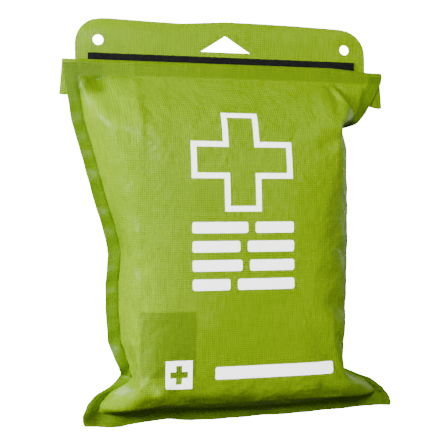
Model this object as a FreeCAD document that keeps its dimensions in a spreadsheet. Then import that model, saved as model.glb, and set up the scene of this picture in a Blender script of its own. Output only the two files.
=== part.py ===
import FreeCAD, Part
import math
import os
import Sketcher
from FreeCAD import Placement, Rotation, Vector

# A waterproof first aid kit for hikers, hung up by its header. Millimetres, X across, Y front to back
# (-Y is the printed side), Z up. The origin is midway between the two eyelets, on the header's front face.
#
# A front and a back panel of coated ripstop are welded round their edge into a flat bag. The bag's mouth
# folds over backwards, and the back panel runs on below the mouth, folds up again and becomes the header.
# A hook strip on the header grips a loop strip on the folded mouth, so the closed top is a flat Z.
# The bag carries a folding leaflet, scissors, tweezers, bandage rolls, dressings and small packs,
# and the size of its filled belly follows from what it carries.

doc = FreeCAD.newDocument("first_aid_kit")

# ---------------------------------------------------------------- driving sizes
sizes = doc.addObject("Spreadsheet::Sheet", "Sizes")
DRIVING = [
    # the bag
    ("fabric", 0.6, "thickness of the coated fabric"),
    ("bag_width", 160, "width of the flat bag across its mouth"),
    ("head_room", 28, "fold to the top of the packed contents"),
    ("foot_room", 19, "bottom of the packed contents to the bottom edge"),
    ("side_pull", 15, "how far the filled belly pulls each side seam in"),
    ("foot_inset", 1, "how far the bottom corners sit inside the mouth's width"),
    ("foot_radius", 5, "corner radius at the bottom"),
    ("weld_width", 6.5, "width of the welded edge"),
    ("front_mouth", 8, "fold to where the front panel leaves the back panel"),
    ("back_mouth", 20, "fold to where the back panel leaves the front panel"),
    ("belly_ease", 1.5, "slack round the packed contents"),
    ("belly_radius", 4, "radius of the belly's lower corners"),
    ("side_facets", 6, "flat facets down each drawn-in side of the belly"),
    ("belly_bands", 4, "bands of facets from the weld to the belly's flat face"),
    ("front_lead", 1.5, "how much deeper the front belly is than the back one"),
    # the Z-folded closure
    ("bend_inner", 1, "inside radius of the mouth's fold"),
    ("flap_drop", 14.5, "fold axis to fold axis"),
    ("loop_thick", 1.1, "loop strip thickness"),
    ("loop_width", 12, "loop strip height"),
    ("hook_thick", 1.2, "hook strip thickness"),
    ("hook_width", 16, "hook strip height"),
    ("hook_show", 4, "how much of the hook strip stands above the fold"),
    ("grip_gap", 0.2, "gap between the hook and the loop backing"),
    ("strip_inset", 6, "header side to the end of each strip"),
    # the header
    ("header_inset", 6.5, "how far the header's sides sit inside the mouth's"),
    ("header_above", 21, "header height above the fold"),
    ("header_radius", 13, "header corner radius"),
    ("eyelet_height", 10.3, "eyelets above the fold"),
    ("eyelet_inset", 11, "eyelets in from the header's sides"),
    ("eyelet_hole", 5, "eyelet diameter"),
    ("hanger_width", 25.2, "base of the triangular hang hole"),
    ("hanger_height", 8, "height of the triangular hang hole"),
    ("hanger_base", 6.6, "hang hole's base above the fold"),
    # the white print
    ("print_thick", 0.2, "film thickness"),
    ("cross_span", 48.4, "cross, tip to tip"),
    ("cross_arm", 17.5, "cross, arm width"),
    ("cross_line", 2.6, "cross, line width"),
    ("cross_drop", 49, "fold to the cross's centre"),
    ("caption_drop", 77.5, "fold to the top of the caption's bars"),
    ("caption_pitch", 8.2, "bar to bar"),
    ("caption_bar", 4.8, "bar height"),
    ("caption_gap", 3.6, "gap between two bars of a row"),
    ("badge_size", 12.4, "square badge near the bottom"),
    ("badge_drop", 146, "fold to the badge's centre"),
    ("badge_cross", 8.2, "plus sign cut out of the badge"),
    ("badge_arm", 2.8, "arm width of that plus sign"),
    ("foot_bar", 5.6, "height of the long bar beside the badge"),
    ("foot_bar_length", 58, "its length"),
    # the contents
    ("packing_gap", 0.3, "gap between packed pieces"),
    ("leaflet_width", 92, ""),
    ("leaflet_height", 124, ""),
    ("leaflet_thick", 1.8, ""),
    ("blade_thick", 1.6, "thickness of each scissor half"),
    ("blade_length", 36, "pivot to tip"),
    ("blade_root", 4.9, "half-width of the scissors at the pivot"),
    ("blade_overlap", 0.8, "how far each closed blade passes the other"),
    ("handle_length", 34, "pivot to the middle of a finger bow"),
    ("bow_width", 14.8, "finger bow, across the middle of its rim"),
    ("bow_straight", 8, "straight side of a finger bow"),
    ("bow_rim", 3, "width of a finger bow's rim"),
    ("bow_bevel", 0.5, "chamfer round a finger bow's rim"),
    ("bow_offset", 10.5, "pivot line to the middle of a finger bow"),
    ("rivet_radius", 2, ""),
    ("rivet_head", 3.4, "rivet head radius"),
    ("rivet_rise", 0.6, "rivet head height"),
    ("running_gap", 0.05, "clearance of the scissors' pivot"),
    ("pivot_drop", 71, "top of the contents to the scissors' pivot"),
    ("tweezer_length", 62, ""),
    ("tweezer_spread", 9.2, ""),
    ("tweezer_gauge", 0.9, "thickness of a tweezer arm"),
    ("tweezer_depth", 3.6, ""),
    ("tweezer_across", 34, "bag's centre line to the tweezers"),
    ("roll_diameter", 24, "bandage rolls"),
    ("roll_core", 5, "hole up the middle of a bandage roll"),
    ("short_roll", 60, "length of the 6 cm bandage"),
    ("long_roll", 80, "length of the 8 cm bandage"),
    ("tape_width", 25, ""),
    ("tape_bore", 14, ""),
    ("spool_wall", 1.2, ""),
    ("spool_flange", 1, ""),
    ("swab_width", 62, "compress sachets"),
    ("swab_height", 48, ""),
    ("swab_thick", 1.1, ""),
    ("plaster_width", 26, "plaster sachets"),
    ("plaster_height", 48, ""),
    ("plaster_thick", 0.5, ""),
    ("pack_width", 90, "the flat packs of the lower stack"),
    ("pack_height", 72, ""),
    ("pack_fin", 4, "crimped end of a flow-wrapped pack"),
    ("fin_thick", 0.4, ""),
    ("dressing_thick", 13, ""),
    ("sling_thick", 5, "triangular bandage"),
    ("blanket_thick", 5.5, "rescue blanket"),
    ("gloves_thick", 2.4, ""),
    ("wipe_width", 44, "cleansing wipe sachets"),
    ("wipe_height", 58, ""),
    ("wipe_thick", 0.9, ""),
]
for row, (alias, number, note) in enumerate(DRIVING, start=1):
    sizes.set(f"A{row}", alias)
    sizes.set(f"B{row}", str(number))
    sizes.set(f"C{row}", note)
    sizes.setAlias(f"B{row}", alias)
doc.recompute()

# ---------------------------------------------------------------- derived places
places = doc.addObject("App::VarSet", "Places")


def derive(name, expression):
    """A place or size worked out from the sheet, kept as a named value of the document."""
    places.addProperty("App::PropertyFloat", name)
    places.setExpression(name, expression)
    places.recompute()


def value(expression):
    return float(sizes.evalExpression(expression))


# The closed top, from the header's front face forwards: hook, loop, both mouth layers, fold, back, front.
derive("lip_out_y", "-(Sizes.hook_thick + Sizes.grip_gap + Sizes.loop_thick)")
derive("lip_mid_y", "Places.lip_out_y - Sizes.fabric")
derive("lip_in_y", "Places.lip_mid_y - Sizes.fabric")
derive("fold_axis_y", "Places.lip_in_y - Sizes.bend_inner")
derive("seam_y", "Places.fold_axis_y - Sizes.bend_inner - Sizes.fabric")
derive("fold_z", "-Sizes.eyelet_height")
derive("fold_axis_z", "Places.fold_z - Sizes.bend_inner - 2 * Sizes.fabric")
derive("header_axis_y", "(Sizes.fabric + Places.lip_in_y) / 2")
derive("header_axis_z", "Places.fold_axis_z - Sizes.flap_drop")
derive("header_top_z", "Places.fold_z + Sizes.header_above")
derive("header_half", "Sizes.bag_width / 2 - Sizes.header_inset")
derive("strip_half", "Places.header_half - Sizes.strip_inset")
derive("eyelet_x", "Places.header_half - Sizes.eyelet_inset")

# The packed contents: a leaflet, a thin layer for the tools, then rolls above flat packs.
derive("tool_depth", "2 * (Sizes.blade_thick + Sizes.running_gap + Sizes.rivet_rise)")
derive("spare_depth", "3 * (Sizes.swab_thick + Sizes.packing_gap)")
derive("rolls_depth", "Sizes.roll_diameter + Places.spare_depth")
derive("packs_depth",
       "Sizes.dressing_thick + Sizes.sling_thick + Sizes.blanket_thick + Sizes.gloves_thick"
       " + Sizes.wipe_thick + 5 * Sizes.packing_gap")
derive("main_depth", "max(Places.rolls_depth; Places.packs_depth)")
derive("stack_depth",
       "Sizes.leaflet_thick + Places.tool_depth + Places.main_depth + 3 * Sizes.packing_gap")
derive("rolls_height", "2 * (Sizes.roll_diameter + Sizes.packing_gap)")
derive("block_width",
       "max(Sizes.leaflet_width; Sizes.pack_width;"
       " Sizes.swab_width + Sizes.plaster_width + Sizes.packing_gap;"
       " Sizes.short_roll + Sizes.tape_width + Sizes.spool_flange + Sizes.packing_gap)")
derive("block_height", "max(Sizes.leaflet_height; Sizes.pack_height + Places.rolls_height)")
derive("block_top_z", "Places.fold_z - Sizes.head_room")
derive("block_bottom_z", "Places.block_top_z - Places.block_height")
derive("foot_z", "Places.block_bottom_z - Sizes.foot_room")
derive("front_depth", "Places.stack_depth / 2 + Sizes.packing_gap + Sizes.front_lead")
derive("back_depth", "Places.stack_depth / 2 + Sizes.packing_gap - Sizes.front_lead")
derive("stack_y", "Places.seam_y - Places.front_depth + Sizes.packing_gap")
derive("tools_y", "Places.stack_y + Sizes.leaflet_thick + Sizes.packing_gap")
derive("main_y", "Places.tools_y + Places.tool_depth + Sizes.packing_gap")
derive("pivot_y", "Places.tools_y + Places.tool_depth / 2")
derive("pivot_z", "Places.block_top_z - Sizes.pivot_drop")

# The belly's flat face, and the seam outline that the filled belly pulls in at the waist.
derive("face_half", "Places.block_width / 2 + Sizes.belly_ease")
derive("waist_half", "max(Sizes.bag_width / 2 - Sizes.side_pull; Places.face_half + 2 * Sizes.weld_width)")
derive("waist_z", "(Places.block_top_z + Places.block_bottom_z) / 2")
derive("foot_half", "Sizes.bag_width / 2 - Sizes.foot_inset")
doc.recompute()

nodes = []


def keep(piece, label):
    piece.Label = label
    nodes.append(piece)
    return piece


# ---------------------------------------------------------------- helpers for sketches and features
def new_body(name):
    return doc.addObject("PartDesign::Body", name)


def place_at(piece, x="0", y="0", z="0"):
    piece.setExpression("Placement.Base.x", x)
    piece.setExpression("Placement.Base.y", y)
    piece.setExpression("Placement.Base.z", z)


def upright_sketch(body, name):
    """A sketch on the body's own XZ plane: its first axis is X and its second is Z."""
    sketch = body.newObject("Sketcher::SketchObject", name)
    plane = next(f for f in body.Origin.OriginFeatures if f.Role == "XZ_Plane")
    sketch.AttachmentSupport = [(plane, "")]
    sketch.MapMode = "FlatFace"
    return sketch


def dimension(sketch, kind, *where_and_expression):
    """Adds a dimension whose value follows the sheet."""
    *where, expression = where_and_expression
    index = sketch.addConstraint(Sketcher.Constraint(kind, *where, value(expression)))
    sketch.setExpression(f"Constraints[{index}]", expression)


def pin_point(sketch, geometry, point, across, up):
    dimension(sketch, "DistanceX", -1, 1, geometry, point, across)
    dimension(sketch, "DistanceY", -1, 1, geometry, point, up)


def polygon(sketch, corners):
    """Straight lines from corner to corner, each corner an (across, up) pair of expressions."""
    first = sketch.GeometryCount
    points = [Vector(value(a), value(b), 0) for a, b in corners]
    count = len(points)
    for i, start in enumerate(points):
        sketch.addGeometry(Part.LineSegment(start, points[(i + 1) % count]))
    for i, (across, up) in enumerate(corners):
        following = first + (i + 1) % count
        sketch.addConstraint(Sketcher.Constraint("Coincident", first + i, 2, following, 1))
        pin_point(sketch, first + i, 1, across, up)


def circle(sketch, across, up, radius):
    centre = Vector(value(across), value(up), 0)
    index = sketch.addGeometry(Part.Circle(centre, Vector(0, 0, 1), value(radius)))
    pin_point(sketch, index, 3, across, up)
    dimension(sketch, "Radius", index, radius)


def pad(body, sketch, thickness, backwards=True):
    """Thickens a sketch: towards +Y if backwards, otherwise towards -Y."""
    feature = body.newObject("PartDesign::Pad", sketch.Name + "_pad")
    feature.Profile = sketch
    feature.setExpression("Length", thickness)
    feature.Reversed = backwards
    doc.recompute()
    return feature


def pocket(body, sketch, both_ways=False):
    feature = body.newObject("PartDesign::Pocket", sketch.Name + "_cut")
    feature.Profile = sketch
    feature.Type = "ThroughAll"
    if both_ways:
        feature.SideType = "Symmetric"
    doc.recompute()
    return feature


def edges_where(shape, test):
    return [f"Edge{i}" for i, edge in enumerate(shape.Edges, start=1) if test(edge)]


def round_edges(body, base, radius, test):
    feature = body.newObject("PartDesign::Fillet", base.Name + "_round")
    feature.Base = (base, edges_where(base.Shape, test))
    feature.setExpression("Radius", radius)
    doc.recompute()
    return feature


def runs_along(edge, direction):
    if not isinstance(edge.Curve, Part.Line):
        return False
    return abs(abs(edge.tangentAt(edge.FirstParameter).dot(direction)) - 1) < 1e-6


def box_in(body, name, length, width, height, x="0", y="0", z="0"):
    """An additive box of a body, with its low corner at x, y, z in the body."""
    feature = body.newObject("PartDesign::AdditiveBox", name)
    feature.setExpression("Length", length)
    feature.setExpression("Width", width)
    feature.setExpression("Height", height)
    place_at(feature, x, y, z)
    doc.recompute()
    return feature


def plate(label, length, width, height, x, y, z):
    box = doc.addObject("Part::Box", label + "_box")
    box.setExpression("Length", length)
    box.setExpression("Width", width)
    box.setExpression("Height", height)
    place_at(box, x, y, z)
    return keep(box, label)


def lying_cylinder(name, radius, length, x, y, z, angle=360):
    """A cylinder along +X. A half one keeps the half below its axis until it is turned."""
    cylinder = doc.addObject("Part::Cylinder", name)
    cylinder.setExpression("Radius", radius)
    cylinder.setExpression("Height", length)
    cylinder.Angle = angle
    cylinder.Placement = Placement(Vector(), Rotation(Vector(0, 1, 0), 90))
    place_at(cylinder, x, y, z)
    return cylinder


# ---------------------------------------------------------------- header
def make_header():
    body = new_body("header_body")
    outline = upright_sketch(body, "header_outline")
    polygon(outline, [
        ("-Places.header_half", "Places.header_axis_z"),
        ("Places.header_half", "Places.header_axis_z"),
        ("Places.header_half", "Places.header_top_z"),
        ("-Places.header_half", "Places.header_top_z"),
    ])
    sheet = pad(body, outline, "Sizes.fabric")
    top = value("Places.header_top_z")
    sheet = round_edges(
        body, sheet, "Sizes.header_radius",
        lambda e: runs_along(e, Vector(0, 1, 0)) and abs(e.CenterOfMass.z - top) < 0.01)
    holes = upright_sketch(body, "eyelets")
    for side in ("-", ""):
        circle(holes, side + "Places.eyelet_x", "0", "Sizes.eyelet_hole / 2")
    pocket(body, holes)
    hanger = upright_sketch(body, "hanger")
    polygon(hanger, [
        ("-Sizes.hanger_width / 2", "Places.fold_z + Sizes.hanger_base"),
        ("Sizes.hanger_width / 2", "Places.fold_z + Sizes.hanger_base"),
        ("0", "Places.fold_z + Sizes.hanger_base + Sizes.hanger_height"),
    ])
    pocket(body, hanger)
    keep(body, "header_tab")


# ---------------------------------------------------------------- closure
def bend(label, inner, outer, length, x, y, z, upwards):
    """Half a turn of fabric about an axis along X, as a half tube: the top half if upwards."""
    outside = lying_cylinder(label + "_outside", outer, length, x, y, z, 180)
    inside = lying_cylinder(label + "_inside", inner, length, x, y, z)
    half_turn = Rotation(Vector(0, 1, 0), 90)
    tilt = Rotation(Vector(1, 0, 0), 0 if upwards else 180)
    quarter_turn = Rotation(Vector(0, 0, 1), 90)
    outside.Placement = Placement(Vector(), tilt.multiply(half_turn).multiply(quarter_turn))
    place_at(outside, x, y, z)
    tube = doc.addObject("Part::Cut", label + "_tube")
    tube.Base = outside
    tube.Tool = inside
    return keep(tube, label)


def make_closure():
    mouth_x = "-Sizes.bag_width / 2"
    lip_height = "Sizes.flap_drop"
    plate("mouth_lip_back", "Sizes.bag_width", "Sizes.fabric", lip_height,
          mouth_x, "Places.lip_in_y", "Places.header_axis_z")
    plate("mouth_lip_front", "Sizes.bag_width", "Sizes.fabric", lip_height,
          mouth_x, "Places.lip_mid_y", "Places.header_axis_z")
    bend("mouth_fold_back", "Sizes.bend_inner", "Sizes.bend_inner + Sizes.fabric",
         "Sizes.bag_width", mouth_x, "Places.fold_axis_y", "Places.fold_axis_z", True)
    bend("mouth_fold_front", "Sizes.bend_inner + Sizes.fabric", "Sizes.bend_inner + 2 * Sizes.fabric",
         "Sizes.bag_width", mouth_x, "Places.fold_axis_y", "Places.fold_axis_z", True)
    bend("header_fold", "-Places.lip_mid_y / 2", "(Sizes.fabric - Places.lip_in_y) / 2",
         "2 * Places.header_half", "-Places.header_half",
         "Places.header_axis_y", "Places.header_axis_z", False)
    plate("hook_strip", "2 * Places.strip_half", "Sizes.hook_thick", "Sizes.hook_width",
          "-Places.strip_half", "-Sizes.hook_thick",
          "Places.fold_z + Sizes.hook_show - Sizes.hook_width")
    plate("loop_strip", "2 * Places.strip_half", "Sizes.loop_thick", "Sizes.loop_width",
          "-Places.strip_half", "Places.lip_out_y",
          "Places.header_axis_z + (Sizes.flap_drop - Sizes.loop_width) / 2")


# ---------------------------------------------------------------- welded panels
def drawn_side(y, top, foot, waist=None):
    """The side of an outline, from top to foot: a parabola that touches the waist, or else a straight line.

    top, foot and waist are each a half-width and a height."""
    start, end = (Vector(half, y, z) for half, z in (top, foot))
    middle = (start + end) / 2
    pull = middle if waist is None else Vector(waist[0], y, waist[1]) * 2 - middle
    side = Part.BezierCurve()
    side.setPoles([start, pull, end])
    return side


def round_corner(y, foot, radius):
    """The lower corner of an outline, from the side to the bottom."""
    half, z = foot
    turn = radius * (1 - 0.5 ** 0.5)
    start, end = Vector(half, y, z + radius), Vector(half - radius, y, z)
    return Part.Arc(start, Vector(half - turn, y, z + turn), end)


def mirrored(points):
    return [Vector(-point.x, point.y, point.z) for point in reversed(points)]


def ring(y, top, foot, radius, waist=None):
    """Corner points round one section of the belly, the same number for every section."""
    facets = int(value("Sizes.side_facets"))
    side = drawn_side(y, top, (foot[0], foot[1] + radius), waist)
    corner = round_corner(y, foot, radius)
    right = [side.value(i / facets) for i in range(facets + 1)]
    right += [corner.value(corner.LastParameter * share) for share in (0.5, 1)]
    return right + mirrored(right)


def flat_face(*corners):
    return Part.Face(Part.makePolygon([*corners, corners[0]]))


def creased_solid(rings):
    """Joins each ring to the next with flat triangles, as taut cloth creases, and closes both ends."""
    faces = [flat_face(*rings[0]), flat_face(*rings[-1])]
    for near, far in zip(rings, rings[1:]):
        following = zip(near[1:] + near[:1], far[1:] + far[:1])
        for (near_start, far_start), (near_end, far_end) in zip(zip(near, far), following):
            faces.append(flat_face(near_start, near_end, far_end))
            faces.append(flat_face(near_start, far_end, far_start))
    shell = Part.Shell(faces)
    shell.sewShape()
    return Part.Solid(shell)


def belly(direction, depth, mouth, grow):
    """The filled bulge of one panel as a solid, from the seam plane outwards, grown by a wall or a film.

    Between the weld and the flat face the cloth follows a quarter of a sine wave."""
    seam = value("Places.seam_y")
    weld = value("Sizes.weld_width") - grow
    root_top = (value("Sizes.bag_width / 2") - weld, value("Places.fold_z") - mouth + grow)
    root_foot = (value("Places.foot_half") - weld, value("Places.foot_z") + weld)
    root_waist = (value("Places.waist_half") - weld, value("Places.waist_z"))
    face_half = value("Places.face_half") + grow
    face_top = (face_half, value("Places.block_top_z + Sizes.belly_ease") + grow)
    face_foot = (face_half, value("Places.block_bottom_z - Sizes.belly_ease") - grow)
    face_waist = (face_half, (face_top[1] + face_foot[1]) / 2)

    bands = int(value("Sizes.belly_bands"))
    rings = []
    for i in range(bands + 1):
        share = i / bands
        top, foot, waist = (
            [near * (1 - share) + far * share for near, far in zip(root, face)]
            for root, face in ((root_top, face_top), (root_foot, face_foot), (root_waist, face_waist)))
        y = seam + direction * (depth + grow) * math.sin(share * math.pi / 2)
        rings.append(ring(y, top, foot, value("Sizes.belly_radius"), waist))
    return creased_solid(rings)


def panel(label, direction, depth, mouth):
    """One panel: the flat welded sheet with its filled bulge, one fabric thick."""
    wall = value("Sizes.fabric")
    seam = value("Places.seam_y")
    radius = value("Sizes.foot_radius")
    top = (value("Sizes.bag_width / 2"), value("Places.fold_axis_z"))
    foot = (value("Places.foot_half"), value("Places.foot_z"))
    waist = (value("Places.waist_half"), value("Places.waist_z"))
    side = drawn_side(seam, top, (foot[0], foot[1] + radius), waist).toShape()
    corner = round_corner(seam, foot, radius).toShape()
    middle = Vector(0, seam, 0)
    left = [edge.mirror(middle, Vector(1, 0, 0)) for edge in (side, corner)]
    across = [Part.LineSegment(Vector(-half, seam, z), Vector(half, seam, z)).toShape()
              for half, z in (top, (foot[0] - radius, foot[1]))]
    outline = Part.Wire(Part.sortEdges([side, corner, *left, *across])[0])
    sheet = Part.Face(outline).extrude(Vector(0, direction * wall, 0))
    shape = sheet.fuse(belly(direction, depth, mouth, wall)).cut(belly(direction, depth, mouth, 0))
    feature = doc.addObject("Part::Feature", label + "_shape")
    feature.Shape = shape.removeSplitter()
    return keep(feature, label)


def make_panels():
    panel("front_panel", -1, value("Places.front_depth"), value("Sizes.front_mouth"))
    panel("back_panel", 1, value("Places.back_depth"), value("Sizes.back_mouth"))


# ---------------------------------------------------------------- white print
def stencil(outline, depth=60):
    """A prism through the front belly from a flat outline given as (across, up) points."""
    points = [Vector(x, value("Places.seam_y"), z) for x, z in outline]
    face = Part.Face(Part.makePolygon(points + points[:1]))
    return face.extrude(Vector(0, -depth, 0))


def plus_outline(span, arm, x, z):
    a, b = arm / 2, span / 2
    quarter = [(-a, b), (a, b), (a, a)]
    points = []
    for _ in range(4):
        points += [(x + u, z + v) for u, v in quarter]
        quarter = [(v, -u) for u, v in quarter]
    return points


def bar_outline(x0, x1, z, height):
    return [(x0, z), (x1, z), (x1, z - height), (x0, z - height)]


def film(label, prisms, skin):
    """A thin print: where the prisms pass through the film's layer on the front belly."""
    feature = doc.addObject("Part::Feature", label + "_shape")
    pieces = [solid for prism in prisms for solid in prism.common(skin).Solids]
    feature.Shape = Part.makeCompound(pieces)
    return keep(feature, label)


def make_print():
    depth, mouth = value("Places.front_depth"), value("Sizes.front_mouth")
    wall, thick = value("Sizes.fabric"), value("Sizes.print_thick")
    skin = belly(-1, depth, mouth, wall + thick).cut(belly(-1, depth, mouth, wall))
    fold = value("Places.fold_z")

    span, arm, line = value("Sizes.cross_span"), value("Sizes.cross_arm"), value("Sizes.cross_line")
    centre = fold - value("Sizes.cross_drop")
    outer = stencil(plus_outline(span, arm, 0, centre))
    inner = stencil(plus_outline(span - 2 * line, arm - 2 * line, 0, centre))
    film("cross_print", [outer.cut(inner)], skin)

    left, right = -span / 2, span / 2
    gap, height = value("Sizes.caption_gap"), value("Sizes.caption_bar")
    rows = []
    for row, split in enumerate((0.58, 0.5, 0.52, 0.4)):
        z = fold - value("Sizes.caption_drop") - row * value("Sizes.caption_pitch")
        middle = left + span * split
        rows.append(stencil(bar_outline(left, middle - gap / 2, z, height)))
        rows.append(stencil(bar_outline(middle + gap / 2, right, z, height)))
    film("caption_bars", rows, skin)

    size, z = value("Sizes.badge_size"), fold - value("Sizes.badge_drop")
    badge_x = left - size / 2
    badge = stencil(bar_outline(badge_x - size / 2, badge_x + size / 2, z + size / 2, size))
    sign = stencil(plus_outline(value("Sizes.badge_cross"), value("Sizes.badge_arm"), badge_x, z))
    bar = value("Sizes.foot_bar")
    start = badge_x + size / 2 + 3 * gap
    stripe = stencil(bar_outline(start, start + value("Sizes.foot_bar_length"), z + bar / 2, bar))
    film("foot_print", [badge.cut(sign), stripe], skin)


# ---------------------------------------------------------------- contents: tools
def obround(sketch, across, up, radius, straight):
    """Two half circles joined by upright straight sides, centred on across, up."""
    first = sketch.GeometryCount
    x, z = value(across), value(up)
    half, r = value(straight) / 2, value(radius)
    high, low = z + half, z - half
    sketch.addGeometry(Part.Arc(Vector(x + r, high, 0), Vector(x, high + r, 0), Vector(x - r, high, 0)))
    sketch.addGeometry(Part.LineSegment(Vector(x - r, high, 0), Vector(x - r, low, 0)))
    sketch.addGeometry(Part.Arc(Vector(x - r, low, 0), Vector(x, low - r, 0), Vector(x + r, low, 0)))
    sketch.addGeometry(Part.LineSegment(Vector(x + r, low, 0), Vector(x + r, high, 0)))
    joins = ((0, 2, 1, 1), (1, 2, 2, 1), (2, 2, 3, 1), (3, 2, 0, 1))
    for earlier, its_end, later, its_start in joins:
        sketch.addConstraint(
            Sketcher.Constraint("Tangent", first + earlier, its_end, first + later, its_start))
    pin_point(sketch, first, 3, across, f"{up} + ({straight}) / 2")
    dimension(sketch, "Radius", first, radius)
    sketch.addConstraint(Sketcher.Constraint("Vertical", first + 1))
    dimension(sketch, "DistanceY", first + 2, 3, first, 3, straight)


def add_bow(body, label, across):
    """The finger bow: a chamfered oblong ring, twice the blade's thickness, centred on the parting plane."""
    rim = upright_sketch(body, label + "_bow")
    for sign in ("+", "-"):
        obround(rim, across("-Sizes.bow_offset"), "-Sizes.handle_length",
                f"(Sizes.bow_width {sign} Sizes.bow_rim) / 2", "Sizes.bow_straight")
    ring = pad(body, rim, "2 * Sizes.blade_thick")
    ring.SideType = "Symmetric"
    doc.recompute()
    bevel = body.newObject("PartDesign::Chamfer", label + "_bow_bevel")
    bevel.Base = (ring, edges_where(ring.Shape, lambda e: not runs_along(e, Vector(0, 1, 0))))
    bevel.setExpression("Size", "Sizes.bow_bevel")
    doc.recompute()


def add_blade(body, label, side, across):
    """The blade, ground to an edge on its outer side where it meets the other blade."""
    outline = upright_sketch(body, label + "_blade")
    polygon(outline, [
        (across("-Sizes.blade_overlap"), "0"),
        (across("-Sizes.blade_overlap"), "Sizes.blade_length"),
        (across("Sizes.blade_root * 0.25"), "Sizes.blade_length"),
        (across("Sizes.blade_root * 0.75"), "Sizes.blade_length * 0.7"),
        (across("Sizes.blade_root"), "Sizes.blade_length * 0.3"),
        (across("Sizes.blade_root"), "0"),
    ])
    steel = pad(body, outline, "Sizes.blade_thick", backwards=side < 0)
    outer_y = -side * value("Sizes.blade_thick")
    edge_x = -side * value("Sizes.blade_overlap")

    def is_cutting_edge(edge):
        middle = edge.CenterOfMass
        lines_up = abs(middle.x - edge_x) < 0.01 and abs(middle.y - outer_y) < 0.01
        return runs_along(edge, Vector(0, 0, 1)) and lines_up

    bevel = body.newObject("PartDesign::Chamfer", label + "_grind")
    bevel.Base = (steel, edges_where(steel.Shape, is_cutting_edge))
    bevel.setExpression("Size", "Sizes.blade_thick * 0.7")
    doc.recompute()


def add_shank(body, label, side, across):
    """The shank from the pivot to the bow's rim, and the round boss about the pivot."""
    rim_top = "-Sizes.handle_length + Sizes.bow_straight / 2"
    outline = upright_sketch(body, label + "_shank")
    polygon(outline, [
        (across("-Sizes.blade_root"), "0"),
        (across("-Sizes.bow_offset * 0.65"), "-Sizes.handle_length * 0.4"),
        (across("-Sizes.bow_offset - Sizes.bow_width * 0.1"), rim_top + " + Sizes.bow_width * 0.5"),
        (across("-Sizes.bow_offset + Sizes.bow_width * 0.3"), rim_top + " + Sizes.bow_width * 0.4"),
        (across("-Sizes.bow_offset * 0.25"), "-Sizes.handle_length * 0.4"),
        (across("Sizes.blade_root * 0.4"), "-Sizes.blade_root * 0.9"),
    ])
    pad(body, outline, "Sizes.blade_thick", backwards=side < 0)
    boss = upright_sketch(body, label + "_boss")
    circle(boss, "0", "0", "Sizes.blade_root")
    pad(body, boss, "Sizes.blade_thick", backwards=side < 0)


def make_scissor_half(label, side):
    """A scissor half about its pivot. Side 1 has its blade at +X in front, side -1 at -X behind."""
    def across(expression):
        return f"{side} * ({expression})"

    body = new_body(label + "_body")
    add_bow(body, label, across)
    add_blade(body, label, side, across)
    add_shank(body, label, side, across)
    hole = upright_sketch(body, label + "_pivot_hole")
    circle(hole, "0", "0", "Sizes.rivet_radius")
    pocket(body, hole, both_ways=True)
    away = "-" if side > 0 else "+"
    place_at(body, "0", f"Places.pivot_y {away} Sizes.running_gap / 2", "Places.pivot_z")
    keep(body, label)


def make_rivet():
    """A shaft along Y with a low domed head on each side."""
    half = "(Sizes.blade_thick + 1.5 * Sizes.running_gap)"
    towards_back = Placement(Vector(), Rotation(Vector(1, 0, 0), -90))
    towards_front = Placement(Vector(), Rotation(Vector(1, 0, 0), 90))
    shaft = doc.addObject("Part::Cylinder", "rivet_shaft")
    shaft.setExpression("Radius", "Sizes.rivet_radius - Sizes.running_gap")
    shaft.setExpression("Height", "2 * " + half)
    shaft.Placement = towards_back
    place_at(shaft, "0", "Places.pivot_y - " + half, "Places.pivot_z")
    heads = []
    for name, turn, sign in (("rivet_back", towards_back, "+"), ("rivet_front", towards_front, "-")):
        head = doc.addObject("Part::Cone", name)
        head.setExpression("Radius1", "Sizes.rivet_head")
        head.setExpression("Radius2", "Sizes.rivet_head * 0.7")
        head.setExpression("Height", "Sizes.rivet_rise - Sizes.running_gap")
        head.Placement = turn
        place_at(head, "0", f"Places.pivot_y {sign} {half}", "Places.pivot_z")
        heads.append(head)
    rivet = doc.addObject("Part::MultiFuse", "rivet_fuse")
    rivet.Shapes = [shaft, *heads]
    keep(rivet, "scissor_rivet")


def make_tweezers():
    body = new_body("tweezers_body")
    outline = upright_sketch(body, "tweezers_outline")
    reach, gauge = "Sizes.tweezer_spread / 2", "Sizes.tweezer_gauge"
    right_arm = [
        ("Sizes.tweezer_gauge * 1.6", "0"),
        (reach, "Sizes.tweezer_length * 0.58"),
        ("Sizes.tweezer_gauge * 1.6", "Sizes.tweezer_length"),
        ("Sizes.tweezer_gauge * 0.6", "Sizes.tweezer_length"),
        (f"{reach} - {gauge}", "Sizes.tweezer_length * 0.58"),
        ("Sizes.tweezer_gauge * 0.6", "Sizes.tweezer_length * 0.1"),
    ]
    left_arm = [(f"-({across})", up) for across, up in reversed(right_arm)]
    polygon(outline, right_arm + left_arm)
    pad(body, outline, "Sizes.tweezer_depth")
    place_at(body, "Sizes.tweezer_across", "Places.pivot_y - Sizes.tweezer_depth / 2",
             "Places.block_top_z - Sizes.tweezer_length - 2 * Sizes.packing_gap")
    keep(body, "tweezers")


# ---------------------------------------------------------------- contents: paper, rolls and packs
def make_leaflet():
    body = new_body("leaflet_body")
    paper = box_in(body, "leaflet_paper",
                   "Sizes.leaflet_width", "Sizes.leaflet_thick", "Sizes.leaflet_height")
    round_edges(body, paper, "Sizes.leaflet_thick * 0.45",
                lambda e: runs_along(e, Vector(0, 0, 1)) and e.CenterOfMass.x < 0.01)
    place_at(body, "-Sizes.leaflet_width / 2", "Places.stack_y", "Places.block_top_z - Sizes.leaflet_height")
    keep(body, "instruction_leaflet")


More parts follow.
